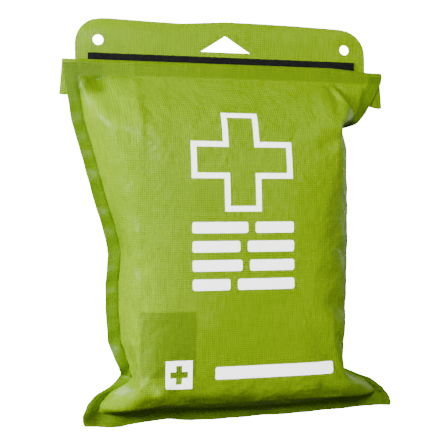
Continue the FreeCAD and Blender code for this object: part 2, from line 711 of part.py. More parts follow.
def bandage_roll(label, length, x, z):
    """A rolled bandage lying along X, with the small hole that its winding leaves."""
    y = "Places.main_y + Sizes.roll_diameter / 2"
    wound = lying_cylinder(label + "_wound", "Sizes.roll_diameter / 2", length, x, y, z)
    core = lying_cylinder(label + "_core", "Sizes.roll_core / 2", length, x, y, z)
    roll = doc.addObject("Part::Cut", label + "_roll")
    roll.Base = wound
    roll.Tool = core
    keep(roll, label)


def make_rolls():
    left = "-Places.block_width / 2"
    upper = "Places.block_top_z - Sizes.roll_diameter / 2 - Sizes.packing_gap"
    lower = "Places.block_top_z - 1.5 * Sizes.roll_diameter - 2 * Sizes.packing_gap"
    bandage_roll("gauze_bandage_short", "Sizes.short_roll", left, upper)
    bandage_roll("gauze_bandage_long", "Sizes.long_roll", left, lower)

    tape_x = f"{left} + Sizes.short_roll + Sizes.packing_gap"
    y = "Places.main_y + Sizes.roll_diameter / 2"
    wound = lying_cylinder("tape_wound", "Sizes.roll_diameter / 2", "Sizes.tape_width", tape_x, y, upper)
    bore = lying_cylinder("tape_bore", "Sizes.tape_bore / 2 + Sizes.running_gap",
                          "Sizes.tape_width", tape_x, y, upper)
    tape = doc.addObject("Part::Cut", "tape_cut")
    tape.Base = wound
    tape.Tool = bore
    keep(tape, "tape_roll")

    tube = lying_cylinder("spool_tube", "Sizes.tape_bore / 2",
                          "Sizes.tape_width + Sizes.spool_flange", tape_x, y, upper)
    flange = lying_cylinder("spool_flange_disc", "Sizes.roll_diameter / 2", "Sizes.spool_flange",
                            f"{tape_x} + Sizes.tape_width", y, upper)
    solid = doc.addObject("Part::Fuse", "spool_solid")
    solid.Base = tube
    solid.Tool = flange
    hole = lying_cylinder("spool_hole", "Sizes.tape_bore / 2 - Sizes.spool_wall",
                          "Sizes.tape_width + Sizes.spool_flange", tape_x, y, upper)
    spool = doc.addObject("Part::Cut", "spool_cut")
    spool.Base = solid
    spool.Tool = hole
    keep(spool, "tape_spool")


def flow_pack(label, thick, y):
    """A pack in a flow wrap, on its back: a cushion with a flat crimped fin at each end."""
    body = new_body(label + "_body")
    core_length = "Sizes.pack_width - 2 * Sizes.pack_fin"
    core = box_in(body, label + "_core", core_length, thick, "Sizes.pack_height", "Sizes.pack_fin")
    round_edges(body, core, f"min(3; ({thick}) * 0.45)", lambda e: runs_along(e, Vector(1, 0, 0)))
    box_in(body, label + "_fins", "Sizes.pack_width", "Sizes.fin_thick", "Sizes.pack_height",
           "0", f"({thick}) / 2 - Sizes.fin_thick / 2", "0")
    place_at(body, "-Sizes.pack_width / 2", y, "Places.block_bottom_z")
    keep(body, label)


def make_packs():
    y = "Places.main_y"
    for label, thick in (
        ("wound_dressing", "Sizes.dressing_thick"),
        ("triangular_bandage", "Sizes.sling_thick"),
        ("rescue_blanket", "Sizes.blanket_thick"),
        ("glove_pack", "Sizes.gloves_thick"),
    ):
        flow_pack(label, thick, y)
        y = f"{y} + {thick} + Sizes.packing_gap"
    return y


def sachets(label, count, width, height, thick, x, y, z, step_x="0", step_y="0"):
    """A run of equal sachets, each a flat packet."""
    packets = []
    for i in range(count):
        packet = doc.addObject("Part::Box", f"{label}_{i}")
        packet.setExpression("Length", width)
        packet.setExpression("Width", thick)
        packet.setExpression("Height", height)
        place_at(packet, f"{x} + {i} * ({step_x})", f"{y} + {i} * ({step_y})", z)
        packets.append(packet)
    group = doc.addObject("Part::Compound", label + "_group")
    group.Links = packets
    keep(group, label)


def make_sachets(wipe_y):
    behind_rolls = "Places.main_y + Sizes.roll_diameter + Sizes.packing_gap"
    sachets("compress_sachets", 3, "Sizes.swab_width", "Sizes.swab_height", "Sizes.swab_thick",
            "-Places.block_width / 2", behind_rolls, "Places.block_top_z - Sizes.swab_height",
            step_y="Sizes.swab_thick + Sizes.packing_gap")
    sachets("plaster_sachets", 4, "Sizes.plaster_width", "Sizes.plaster_height", "Sizes.plaster_thick",
            "-Places.block_width / 2 + Sizes.swab_width + Sizes.packing_gap", behind_rolls,
            "Places.block_top_z - Sizes.plaster_height", step_y="Sizes.plaster_thick + Sizes.packing_gap")
    sachets("cleansing_wipes", 2, "Sizes.wipe_width", "Sizes.wipe_height", "Sizes.wipe_thick",
            "-Sizes.pack_width / 2", wipe_y, "Places.block_bottom_z",
            step_x="Sizes.wipe_width + Sizes.packing_gap")


make_header()
make_closure()
make_panels()
make_print()
make_leaflet()
make_scissor_half("scissor_half_front", 1)
make_scissor_half("scissor_half_back", -1)
make_rivet()
make_tweezers()
make_rolls()
make_sachets(make_packs())
doc.recompute()

# ---------------------------------------------------------------- checks and export
for thing in doc.Objects:
    if {"Invalid", "Error"} & set(thing.State):
        raise RuntimeError(f"{thing.Label} failed: {thing.State}")
for node in nodes:
    if node.Shape.isNull() or not node.Shape.isValid() or not node.Shape.Solids:
        raise RuntimeError(f"{node.Label} has no valid solid")

os.makedirs("parts", exist_ok=True)
for node in nodes:
    node.Shape.exportStep(f"parts/{node.Label}.step")
    box = node.Shape.BoundBox
    print(f"{node.Label:22s} {len(node.Shape.Solids):2d} solids {node.Shape.Volume:10.1f} mm3 "
          f"{box.XLength:6.1f} x {box.YLength:5.1f} x {box.ZLength:6.1f}")
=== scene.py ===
import math
import bpy
import numpy as np
from mathutils import Matrix, Vector


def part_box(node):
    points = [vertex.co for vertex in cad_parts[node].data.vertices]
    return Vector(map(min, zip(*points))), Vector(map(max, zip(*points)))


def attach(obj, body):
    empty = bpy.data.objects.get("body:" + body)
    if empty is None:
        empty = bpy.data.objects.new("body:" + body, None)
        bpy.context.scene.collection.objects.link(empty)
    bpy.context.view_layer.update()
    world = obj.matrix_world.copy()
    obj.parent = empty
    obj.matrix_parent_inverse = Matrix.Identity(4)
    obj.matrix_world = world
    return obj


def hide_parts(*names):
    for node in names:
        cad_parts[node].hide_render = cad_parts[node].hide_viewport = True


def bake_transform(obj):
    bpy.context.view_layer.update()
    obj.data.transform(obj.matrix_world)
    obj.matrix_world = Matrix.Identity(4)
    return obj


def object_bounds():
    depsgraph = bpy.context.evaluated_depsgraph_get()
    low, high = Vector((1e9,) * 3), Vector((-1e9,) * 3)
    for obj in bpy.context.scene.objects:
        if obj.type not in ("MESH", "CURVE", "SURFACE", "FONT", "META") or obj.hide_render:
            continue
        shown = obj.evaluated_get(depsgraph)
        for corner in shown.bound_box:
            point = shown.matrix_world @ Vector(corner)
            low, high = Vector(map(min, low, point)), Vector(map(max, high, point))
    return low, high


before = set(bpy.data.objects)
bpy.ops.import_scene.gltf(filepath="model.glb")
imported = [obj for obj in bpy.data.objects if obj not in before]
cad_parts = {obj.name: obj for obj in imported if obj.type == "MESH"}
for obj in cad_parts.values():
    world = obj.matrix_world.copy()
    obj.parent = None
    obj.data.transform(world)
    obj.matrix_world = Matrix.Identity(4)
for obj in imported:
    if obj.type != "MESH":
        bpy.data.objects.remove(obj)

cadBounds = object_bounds()
millimetre = 0.001
sharpAngle = 52              # degrees between two faces above which their edge is drawn sharp
print("frame loaded:", len(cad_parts), "nodes")


def nodeBox(name):
    # lowest and highest corner of a CAD node, in millimetres
    low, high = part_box(name)
    return np.array(low) / millimetre, np.array(high) / millimetre


def ease(x):
    # 0 below 0, 1 above 1, and 3x^2 - 2x^3 between
    x = np.clip(x, 0.0, 1.0)
    return x * x * (3.0 - 2.0 * x)


def ripple(x, seed, waves, height):
    # a sum of sines of the given wavelengths, each with a seeded phase and weight
    draw = np.random.default_rng(seed)
    total = np.zeros_like(x, dtype=float)
    for wave in waves:
        total = total + draw.uniform(0.6, 1.0) * np.sin(2 * np.pi * x / wave + draw.uniform(0, 6.283))
    return height * total / len(waves)


def spread(down, along):
    # two arrays of the same shape: the first list down the rows, the second along the columns
    return np.meshgrid(down, along, indexing="ij")


def gridQuads(index):
    # four corners of every cell of a 2-D array of vertex numbers, wound the same way round
    a, b, c, d = index[:-1, :-1], index[:-1, 1:], index[1:, 1:], index[1:, :-1]
    return np.stack([a, b, c, d], -1).reshape(-1, 4)


def gridRim(index):
    # the vertex numbers once round a grid's edge
    return np.concatenate([index[0, :-1], index[:-1, -1], index[-1, :0:-1], index[:0:-1, 0]])


def rimWall(rim, count):
    # quads from a closed loop of points to the same loop count numbers further on
    following = np.roll(rim, -1)
    return np.stack([rim, rim + count, following + count, following], -1)


def readPoints(mesh):
    points = np.empty(len(mesh.vertices) * 3, np.float32)
    mesh.vertices.foreach_get("co", points)
    return points.reshape(-1, 3).astype(float)


def makePiece(name, points, quads, flat=None):
    # a smooth mesh object from an array of points in millimetres and an array of quads
    mesh = bpy.data.meshes.new(name)
    mesh.from_pydata((np.asarray(points, float) * millimetre).tolist(), [], np.asarray(quads).tolist())
    mesh.polygons.foreach_set("use_smooth", np.ones(len(quads), bool))
    if flat is not None:
        corner = np.empty(len(mesh.loops), np.int32)
        mesh.loops.foreach_get("vertex_index", corner)
        layer = mesh.uv_layers.new(name="flatCut")
        layer.data.foreach_set("uv", np.asarray(flat, np.float32)[corner].ravel())
    mesh.validate()
    mesh.update()
    mesh.set_sharp_from_angle(angle=math.radians(sharpAngle))
    piece = bpy.data.objects.new(name, mesh)
    bpy.context.scene.collection.objects.link(piece)
    return piece


def markCutEdge(piece, wallCount):
    # the last faces are the wall round the rim, which takes the second material
    slots = np.zeros(len(piece.data.polygons), np.int32)
    slots[-wallCount:] = 1
    piece.data.polygons.foreach_set("material_index", slots)


def standIn(piece, nodes, finishes, body=None):
    # a piece's materials, the CAD nodes it stands for, and the body it rides on
    for finish in finishes:
        piece.data.materials.append(finish)
    if body:
        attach(piece, body)
    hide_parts(*nodes)


def gridNormals(grid):
    # cross product of the differences down the rows and along the columns, made unit length
    down = np.gradient(grid, axis=0)
    along = np.gradient(grid, axis=1)
    normal = np.cross(down, along)
    return normal / np.maximum(np.linalg.norm(normal, axis=2, keepdims=True), 1e-9)


def midpoints(grid):
    # between two neighbours: 9/16 of each, less 1/16 of the next ones out, so the curve stays smooth
    padded = np.concatenate([2 * grid[:1] - grid[1:2], grid, 2 * grid[-1:] - grid[-2:-1]])
    between = (9 * (padded[1:-2] + padded[2:-1]) - padded[:-3] - padded[3:]) / 16
    out = np.empty((2 * len(grid) - 1,) + grid.shape[1:])
    out[0::2] = grid
    out[1::2] = between
    return out


def finer(grid):
    # midpoints down the rows, then along the columns
    return midpoints(midpoints(grid).swapaxes(0, 1)).swapaxes(0, 1)


def shell(name, grid, thickness, flat=None, side=None, start=0.0):
    # the grid moved along its normals by start and by start + thickness, and joined round the rim
    normal = gridNormals(grid) if side is None else side
    inner = (grid + start * normal).reshape(-1, 3)
    outer = (grid + (start + thickness) * normal).reshape(-1, 3)
    count = len(inner)
    index = np.arange(count).reshape(grid.shape[:2])
    wall = rimWall(gridRim(index), count)
    quads = np.concatenate([gridQuads(index)[:, ::-1] + count, gridQuads(index), wall])
    uv = None if flat is None else np.concatenate([flat.reshape(-1, 2)] * 2)
    piece = makePiece(name, np.concatenate([inner, outer]), quads, uv)
    markCutEdge(piece, len(wall))
    return piece


class Finish:
    # a short way to write a node tree: a method adds a node or a few and gives the output
    def __init__(self, name):
        self.material = bpy.data.materials.new(name)
        self.material.use_nodes = True
        self.tree = self.material.node_tree
        self.shader = self.tree.nodes["Principled BSDF"]

    def put(self, socket, value):
        if isinstance(value, bpy.types.NodeSocket):
            self.tree.links.new(value, socket)
        elif value is not None:
            socket.default_value = value

    def add(self, kind, inputs, **settings):
        node = self.tree.nodes.new("ShaderNode" + kind)
        for name, value in settings.items():
            setattr(node, name, value)
        for socket, value in inputs.items():
            self.put(node.inputs[socket], value)
        return node.outputs

    def math(self, operation, a, b=None):
        return self.add("Math", {0: a, 1: b}, operation=operation)[0]

    def times(self, a, b):
        return self.math("MULTIPLY", a, b)

    def plus(self, a, b):
        return self.math("ADD", a, b)

    def absSine(self, value):
        return self.math("ABSOLUTE", self.math("SINE", value))

    def place(self, scale=(1, 1, 1), flat=False):
        # object coordinates, or the flat cut's own map, scaled
        source = self.add("UVMap", {}, uv_map="flatCut")["UV"] if flat else self.add("TexCoord", {})["Object"]
        return self.add("Mapping", {"Vector": source, "Scale": scale})[0]

    def axes(self, scale):
        # object coordinates split in three, all scaled alike
        return self.add("SeparateXYZ", {0: self.place((scale, scale, scale))})

    def noise(self, scale, detail=3.0, rough=0.5, place=None):
        inputs = {"Vector": place or self.place(), "Scale": scale, "Detail": detail, "Roughness": rough}
        return self.add("TexNoise", inputs)["Fac"]

    def step(self, value, edge, soft):
        # 0 to 1 over a width round an edge, or 1 to 0 if the width is negative
        half = abs(soft) / 2
        return self.add("MapRange", {"Value": value, "From Min": edge - half, "From Max": edge + half,
                                     "To Min": float(soft < 0), "To Max": float(soft > 0)},
                        interpolation_type="SMOOTHSTEP")[0]

    def ramp(self, value, low, high, amount):
        # nothing below low, the given amount above high
        node = self.tree.nodes.new("ShaderNodeValToRGB")
        self.put(node.inputs[0], value)
        for element, position, level in zip(node.color_ramp.elements, (low, high), (0.0, amount)):
            element.position, element.color = position, (level, level, level, 1.0)
        return node.outputs[0]

    def blendColour(self, amount, first, second):
        first, second = (c if isinstance(c, bpy.types.NodeSocket) else (*c, 1.0) for c in (first, second))
        return self.add("Mix", {0: amount, 6: first, 7: second}, data_type="RGBA")[2]

    def bump(self, height, strength, distance, base=None):
        inputs = {"Strength": strength, "Distance": distance, "Height": height, "Normal": base}
        return self.add("Bump", inputs)[0]

    def set(self, **sockets):
        # names with spaces are written with underscores
        for name, value in sockets.items():
            self.put(self.shader.inputs[name.replace("_", " ")], value)
        return self.material


def srgb(red, green, blue):
    # screen values 0..255 to linear light
    c = np.array([red, green, blue]) / 255.0
    return tuple(np.where(c <= 0.04045, c / 12.92, ((c + 0.055) / 1.055) ** 2.4))


ripstopSpec = {
    "colour": (0.255, 0.455, 0.0), "threadColour": (0.13, 0.26, 0.0), "worn": (0.305, 0.50, 0.003),
    # the weld's colour is darker than the cloth: partly the pressed seam's own tone, partly painted shade
    # where the flange turns away from the light
    "weldColourAndShade": (0.098, 0.205, 0.0), "weldShare": 0.8,
    "threadPitch": 1.02,       # mm between the reinforcing threads
    "weavePitch": 0.34,        # mm between the plain threads
    "threadSharp": 2.2, "threadShare": 0.95, "wornScale": 26.0, "grainScale": 420.0,
    "slub": (1.6, 0.12), "streak": (1300, 1300, 60),
    "threadBump": (0.75, 0.00025), "grainBump": (0.10, 0.0004),
    "roughness": (0.30, 0.44), "specular": 0.14, "tint": (0.7, 1.0, 0.15, 1), "coat": 0.22,
    "coatRoughness": 0.34,
    # darker soft-edged rectangles, in turn: dark contents showing through, a darker upper-left corner, and
    # two of painted shade under the fold; left, right, low, high and edge width in mm, how much, and the
    # colour
    "showThroughAndShade": [(-47.5, -22.5, -157.5, -127.5, 1.2, 0.62, (0.10, 0.19, 0.004)),
                    (-74, -60.5, -27, -11, 5.0, 0.62, (0.06, 0.13, 0.0)),
                    (-46.5, 90, -17.8, -9, 1.6, 0.5, (0.08, 0.16, 0.0)),
                    (-60.5, -46.5, -19, -9, 5.0, 0.4, (0.08, 0.16, 0.0))],
}


def ripstop(name, size, spec=ripstopSpec, throughAndShade=False):
    # a grid of raised threads every pitch, a fine weave between them, and soft uneven colour
    f = Finish(name)
    axis = f.add("SeparateXYZ", {0: f.place((*size, 1), flat=True)})

    def threads(pitch, sharp, join):
        # near a thread 1, between threads 0: |sin(pi x / pitch)| turned over and raised to a power
        lines = [f.math("POWER", f.math("SUBTRACT", 1.0, f.absSine(f.times(way, math.pi / pitch))), sharp)
                 for way in axis[:2]]
        return f.math(join, *lines)
    gridLine = threads(spec["threadPitch"], spec["threadSharp"], "MAXIMUM")
    weave = threads(spec["weavePitch"], 1.0, "MULTIPLY")
    slubSize = [mm * share for mm, share in zip(size, spec["slub"])]
    slub = f.noise(1.0, 2.0, place=f.place((*slubSize, 1), flat=True))
    mottle = f.noise(spec["wornScale"], 4.0, 0.55)
    cloth = f.blendColour(f.times(gridLine, spec["threadShare"]), spec["colour"], spec["threadColour"])
    cloth = f.blendColour(f.ramp(mottle, 0.38, 0.68, 0.55), cloth, spec["worn"])
    cloth = f.blendColour(f.ramp(slub, 0.42, 0.75, 0.6), cloth, spec["threadColour"])
    weld = f.add("Attribute", {}, attribute_name="weld")["Fac"]
    # the welded band takes the darker weld colour, partly painted shade
    cloth = f.blendColour(f.times(weld, spec["weldShare"]), cloth, spec["weldColourAndShade"])
    at = f.axes(1000)
    streak = f.noise(1.0, 2.0, place=f.place(spec["streak"]))
    for left, right, low, high, soft, amount, colour in spec["showThroughAndShade"] if throughAndShade else ():
        # a soft-edged darker rectangle: for the first, dark contents showing through the cloth; for the
        # others, painted shade under the fold and a darker upper-left corner
        inX = f.times(f.step(at[0], left, soft), f.step(at[0], right, -soft))
        inZ = f.times(f.step(at[2], low, soft), f.step(at[2], high, -soft))
        depth = f.times(f.times(inX, inZ), f.plus(f.times(streak, 0.5), amount - 0.25))
        cloth = f.blendColour(depth, cloth, colour)
    height = f.plus(f.times(gridLine, 0.7), f.times(weave, 0.3))
    normal = f.bump(height, *spec["threadBump"])
    normal = f.bump(f.noise(spec["grainScale"]), *spec["grainBump"], normal)
    low, high = spec["roughness"]
    return f.set(Base_Color=cloth, Roughness=f.plus(f.times(mottle, high - low), low), Normal=normal,
                 Specular_IOR_Level=spec["specular"], Specular_Tint=spec["tint"], Coat_Weight=spec["coat"],
                 Coat_Roughness=spec["coatRoughness"])


pouchSpec = {
    "weld": 6.5,              # mm width of the welded edge
    "topBand": 6.0,           # mm of closed cloth under the fold
    "cutLength": 188.0,       # mm, down the middle of a panel before it was filled
    "fabric": 0.6,
    "cells": (92, 106),       # cells across and down before they are halved
    "faceLeft": -47.3, "faceRight": 50.6, "faceTop": (33.0, 25.0), "faceFoot": 24.0, "faceHalf": 52.0,
    "leanBack": 2.4, "rightWeld": 0.72, "bowShare": 0.55, "footCurve": 0.8, "seamGap": 0.6,
    # mm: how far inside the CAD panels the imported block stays, and the radius of its edges
    "block": {"left": -46.8, "right": 49.6, "front": 0.8, "back": 1.1, "foot": 13.5, "top": 25.3,
              "radius": 4.0, "count": 33, "even": 0.65, "leanFrom": 21.0, "friction": 4.0},
    "leftEdge": [(0, -80), (12.8, -78), (26.7, -76), (45.2, -70.7), (62.4, -66.2), (76, -62), (85.3, -59.8),
                 (89.6, -59.3), (103.6, -60.6), (115.8, -60.6), (130.3, -59.6), (139, -56.5), (146.6, -53.1),
                 (150.6, -57.5), (154.3, -65.4), (158.8, -69.8), (164.2, -72.0), (168, -71.6), (170, -69.6)],
    "rightEdge": [(0, 80), (3, 79.6), (11, 75.5), (20, 70.8), (25.1, 66.5), (28.1, 58.2), (33.8, 59.5),
                  (40, 61.3), (55, 62.3), (80, 62.3), (105, 61.6), (128, 60.6), (138, 58.2), (147.0, 56.4),
                  (150.2, 63.6), (153.7, 72.8), (158.5, 78.6), (163.5, 81.6), (167.5, 82.6), (170, 81.0)],
    "footEdge": [(-72, 0.2), (-62, 1.4), (-54.7, 1.6), (-43, 0.1), (-30, -0.6), (-20, 0.8), (4, 0.6),
                 (30, 0.2), (55, -0.6), (80, -1.6)],
    "droop": 1.7, "tuck": 4.5, "laidBack": (0.4, 3.6), "cornerFlare": -2.4,
    # the wavelengths of each ripple and its height, then the height, place and width of each pinch
    "sideRipple": ([9.0, 13.5, 21.0], 0.75), "footRipple": ([17.0, 29.0, 44.0], 1.2),
    "pinches": [(3.2, 147, 2.6), (-1.6, 141, 4)], "rightPinch": (4.0, 28, 3.2),
    "shake": ([17.0, 27.0, 41.0], 0.7, [19.0, 33.0, 57.0], 1.0),
    # x and z where a crease starts and ends, its width and height, all in mm
    "frontCreases": [(-72, -26, -47, -70, 4.6, 1.7), (-64, -21, -44, -50, 4.2, -1.5),
                     (-55, -99, -43, -113, 3.2, -1.3), (-55, -106, -42, -101, 3.0, 1.0),
                     (-52, -158, -36, -167, 3.0, 1.7), (-52, -155, -45, -136, 3.6, -1.4),
                     (-39, -165, -24, -176, 2.6, 1.8), (-32, -164, -17, -175, 2.8, -1.5),
                     (56, -43, 38, -54, 3.2, -1.7), (57, -46, 47, -74, 3.6, 1.3),
                     (49.5, -15, 59, -31, 1.9, 1.3), (53, -16, 51, -42, 3.4, -1.9),
                     (56, -158, 70, -172, 3.0, 1.9), (60, -158, 78, -170, 2.6, -1.6),
                     (40, -166, 62, -176, 3.0, -1.2), (-46.6, -20, -46.8, -75, 2.2, 0.7),
                     (10, -170, 34, -174, 3.4, 0.9), (50, -88, 40, -97, 4.0, -0.7),
                     (50, -128, 38, -122, 4.4, -0.7)],
    "backCreases": [(-70, -28, -44, -62, 4.4, 1.6), (-54, -99, -40, -112, 3.4, -1.3),
                    (-52, -157, -34, -168, 3.2, 1.7), (56, -43, 36, -56, 3.4, -1.6),
                    (58, -48, 44, -80, 3.8, 1.3), (56, -157, 72, -172, 3.0, 1.8),
                    (-20, -167, -8, -176, 3.0, 1.5), (22, -166, 30, -176, 3.2, -1.3)],
    "frames": 40, "cap": 8.0, "slack": 1.018,
    "scale": 0.01,            # the cloth solver works on a pouch about 1.6 units wide
    "clearance": 0.4,         # mm between the cloth and the block
    "cloth": {"quality": 5, "mass": 0.2, "tension_stiffness": 18, "compression_stiffness": 18,
              "shear_stiffness": 8, "bending_stiffness": 0.3, "bending_stiffness_max": 6.0,
              "tension_damping": 8, "compression_damping": 8, "shear_damping": 8, "bending_damping": 1.0,
              "air_damping": 6.0, "vertex_group_mass": "pin", "vertex_group_bending": "stiff",
              "use_pressure": True, "uniform_pressure_force": 0.22, "vertex_group_pressure": "pressed"},
}
frontLow, frontHigh = nodeBox("front_panel")
backHigh = nodeBox("back_panel")[1]
seamY = frontHigh[1]
topZ, footZ = frontHigh[2], frontLow[2]
halfWidth = frontHigh[0]
cutSize = (2 * halfWidth, pouchSpec["cutLength"])


def spacedLines(ends, cells):
    # grid lines over several stretches, each stretch cut evenly, sharing their ends
    runs = [np.linspace(a, b, n + 1)[(0 if k == 0 else 1):] for k,
            (a, b, n) in enumerate(zip(ends, ends[1:], cells))]
    return np.concatenate(runs)


def pouchLines(spec):
    # distances across the cut from its middle, and down it from the fold
    wide, down = spec["cells"]
    inner = halfWidth - spec["weld"]
    across = spacedLines([-halfWidth, -inner, inner, halfWidth], [4, wide - 8, 4])
    along = spacedLines([0, spec["topBand"], spec["cutLength"] - spec["weld"], spec["cutLength"]],
                        [3, down - 7, 4])
    return across, along


def droop(x, spec):
    # the fold's right end hangs a little
    return -spec["droop"] * ease((x - 50) / 28)


def panelStart(spec, front):
    # Each row is a quarter ellipse from the weld up to the flat face and back down, and so is each column.
    # x comes from the edge curves, z from the distance down the cut, y from the product of the two rises.
    s, t = np.meshgrid(*pouchLines(spec))
    length, weld, top, faceHalf = spec["cutLength"], spec["weld"], spec["topBand"], spec["faceHalf"]
    high = topZ - footZ
    drop = np.interp(t, [0, top, top + 30, length - weld - 24, length - weld - 12, length - weld, length],
                     [0, top, top + 25, high - weld - 10, high - weld - 2.4, high - weld, high])
    left = np.interp(drop, *zip(*spec["leftEdge"]))
    right = np.interp(drop, *zip(*spec["rightEdge"]))
    inner = halfWidth - weld
    tau = np.clip((inner - np.abs(s)) / (inner - faceHalf), 0, 1)
    face = np.where(s < 0, spec["faceLeft"], spec["faceRight"])
    edge = np.where(s < 0, left, right)
    weldLine = edge - np.sign(s) * weld * np.where(s < 0, 1.0, spec["rightWeld"])
    shape = spec["bowShare"] * (1 - np.cos(tau * np.pi / 2)) + (1 - spec["bowShare"]) * tau
    x = weldLine + (face - weldLine) * shape
    onFace = (spec["faceLeft"] + spec["faceRight"] + (spec["faceRight"] - spec["faceLeft"]) * s
              / faceHalf) / 2
    x = np.where(np.abs(s) < faceHalf, onFace, x)
    band = np.abs(s) > inner
    x = np.where(band, edge + (weldLine - edge) * (halfWidth - np.abs(s)) / weld, x)
    topRise = np.clip((t - top) / spec["faceTop"][0 if front else 1], 0, 1)
    footRise = np.clip((length - weld - t) / spec["faceFoot"], 0, 1)
    # near the fold and the foot the width goes from the seam's to the face's
    straight = s / halfWidth * (right - left) / 2 + (right + left) / 2
    x = straight + (x - straight) * np.where(band, 1.0, ease(topRise * 1.6) * ease(footRise * 2.2))
    depth = (seamY - frontLow[1] - spec["fabric"]) if front else (backHigh[1] - seamY - spec["fabric"])
    rise = np.sin(tau * np.pi / 2) * np.sin(topRise * np.pi / 2)
    rise = rise * np.sin(footRise * np.pi / 2) ** spec["footCurve"]
    y = seamY + (-depth if front else depth) * rise
    foot = np.interp(x, *zip(*spec["footEdge"])) * ease((t - length + 30) / 30)
    # a fold runs down from the mouth to the pinch at the right; the cloth outside it is set back
    outside = ease((x - 50 - 0.55 * (drop - 3)) / 4) * ease((drop - 4) / 8) * ease((34 - drop) / 6)
    y = y + np.where(band, 0, (spec["tuck"] if front else 0) * outside)
    y = np.where(band, y, np.minimum(y, seamY - spec["seamGap"]) if front else y)
    z = topZ - drop - foot + droop(x, spec) * ease(1 - drop / 34)
    return np.stack([x, y, z], -1)


def seamWave(start, spec):
    # how far the weld leaves the seam's plane: short ripples, the right side back, the corners forward
    s, t = np.meshgrid(*pouchLines(spec))
    level = topZ - start[..., 2]
    onSide = ease((np.abs(s) - halfWidth + spec["weld"] + 1) / spec["weld"])
    below = ease((level - 12) / 20)
    sideRipple = ripple(level + 7 * np.sign(s), 4, *spec["sideRipple"])
    left, right = spec["laidBack"]
    laidBack = np.where(s > 0, right, left) * ease((level - 24) / 12) * ease((150 - level) / 14)
    cornerFlare = spec["cornerFlare"] * ease((level - 146) / 14)
    onFoot = ease((t - spec["cutLength"] + spec["weld"] + 1) / spec["weld"])
    footRipple = ripple(start[..., 0], 9, *spec["footRipple"])

    def pinched(height, centre, width):
        return height * np.exp(-((level - centre) / width) ** 2)
    pinch = sum(pinched(*one) for one in spec["pinches"])
    pinch = np.where(s > 0, pinch + pinched(*spec["rightPinch"]), pinch)
    return below * (onSide * (sideRipple + laidBack + cornerFlare + pinch) + onFoot * footRipple)


def contentsBlock(spec):
    # Six square grids folded to a box with rounded edges: the nearest point of a smaller box, plus the radius
    # along the line to it. The front leans back toward the top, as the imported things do.
    inset, scale = spec["block"], spec["scale"]
    low = np.array([inset["left"], frontLow[1] + inset["front"], footZ + inset["foot"]])
    high = np.array([inset["right"], backHigh[1] - inset["back"], topZ - inset["top"]])
    radius, count, even = inset["radius"], inset["count"], inset["even"]
    line = np.sin(np.linspace(-np.pi / 2, np.pi / 2, count)) * (1 - even) + np.linspace(-1, 1, count) * even
    v, u = spread(line, line)
    one = np.ones_like(u)
    faces = ((u, -one, v), (-u, one, v), (-one, -u, v), (one, u, v), (u, v, one), (u, -v, -one))
    unit = np.concatenate([np.stack(face, -1).reshape(-1, 3) for face in faces])
    p = (low + high) / 2 + unit * (high - low) / 2
    core = np.clip(p, low + radius, high - radius)
    reach = p - core
    p = core + radius * reach / np.linalg.norm(reach, axis=1, keepdims=True)
    height = (p[:, 2] - high[2]) / inset["leanFrom"] + 1
    p[:, 1] += np.where(p[:, 1] < seamY, spec["leanBack"], 0) * ease(height)
    cell = gridQuads(np.arange(count * count).reshape(count, count))
    quads = np.concatenate([cell + k * count * count for k in range(len(faces))])
    block = linkedMesh("packedBlock", p * scale, quads)
    block.modifiers.new("Collision", "COLLISION")
    block.collision.thickness_outer = spec["clearance"] * scale
    block.collision.cloth_friction = inset["friction"]
    return block


def linkedMesh(name, points, quads):
    # a plain mesh for the solver, in its own units
    mesh = bpy.data.meshes.new(name)
    mesh.from_pydata(points.tolist(), [], quads.tolist())
    piece = bpy.data.objects.new(name, mesh)
    bpy.context.scene.collection.objects.link(piece)
    return piece


def simulatePouch(spec, start, cut, quads, pinned, welded):
    # cloth with the flat cut's lengths, pinned along the weld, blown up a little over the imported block
    scale = spec["scale"]
    cloth = linkedMesh("pouchCloth", start * scale, quads)
    cloth.shape_key_add(name="Basis")
    key = cloth.shape_key_add(name="cut")
    key.data.foreach_set("co", (cut * scale).astype(np.float32).ravel())
    key.value = 0.0
    for name, weights in (("pin", pinned), ("stiff", welded), ("pressed", 1.0 - welded)):
        group = cloth.vertex_groups.new(name=name)
        for weight in np.unique(weights):
            group.add(np.flatnonzero(weights == weight).tolist(), float(weight), "REPLACE")
    block = contentsBlock(spec)
    modifier = cloth.modifiers.new("Cloth", "CLOTH")
    for name, value in spec["cloth"].items():
        setattr(modifier.settings, name, value)
    modifier.settings.rest_shape_key = key
    modifier.settings.effector_weights.gravity = 0.0
    modifier.collision_settings.distance_min = spec["clearance"] * scale
    modifier.collision_settings.collision_quality = 2
    modifier.point_cache.frame_end = spec["frames"]
    scene = bpy.context.scene
    for step in range(1, spec["frames"] + 1):
        scene.frame_set(step)
    settled = cloth.evaluated_get(bpy.context.evaluated_depsgraph_get())
    moved = readPoints(settled.data) / scale - start
    scene.frame_set(1)
    bpy.data.objects.remove(cloth)
    bpy.data.objects.remove(block)
    far = np.linalg.norm(moved, axis=1, keepdims=True)
    print("cloth moved, mm: most %.2f, mean %.2f" % (far.max(), far.mean()))
    # a long move is shortened: the distance becomes cap * tanh(distance / cap)
    keep = spec["cap"] * np.tanh(far / spec["cap"]) / np.maximum(far, 1e-9)
    return start + moved * keep


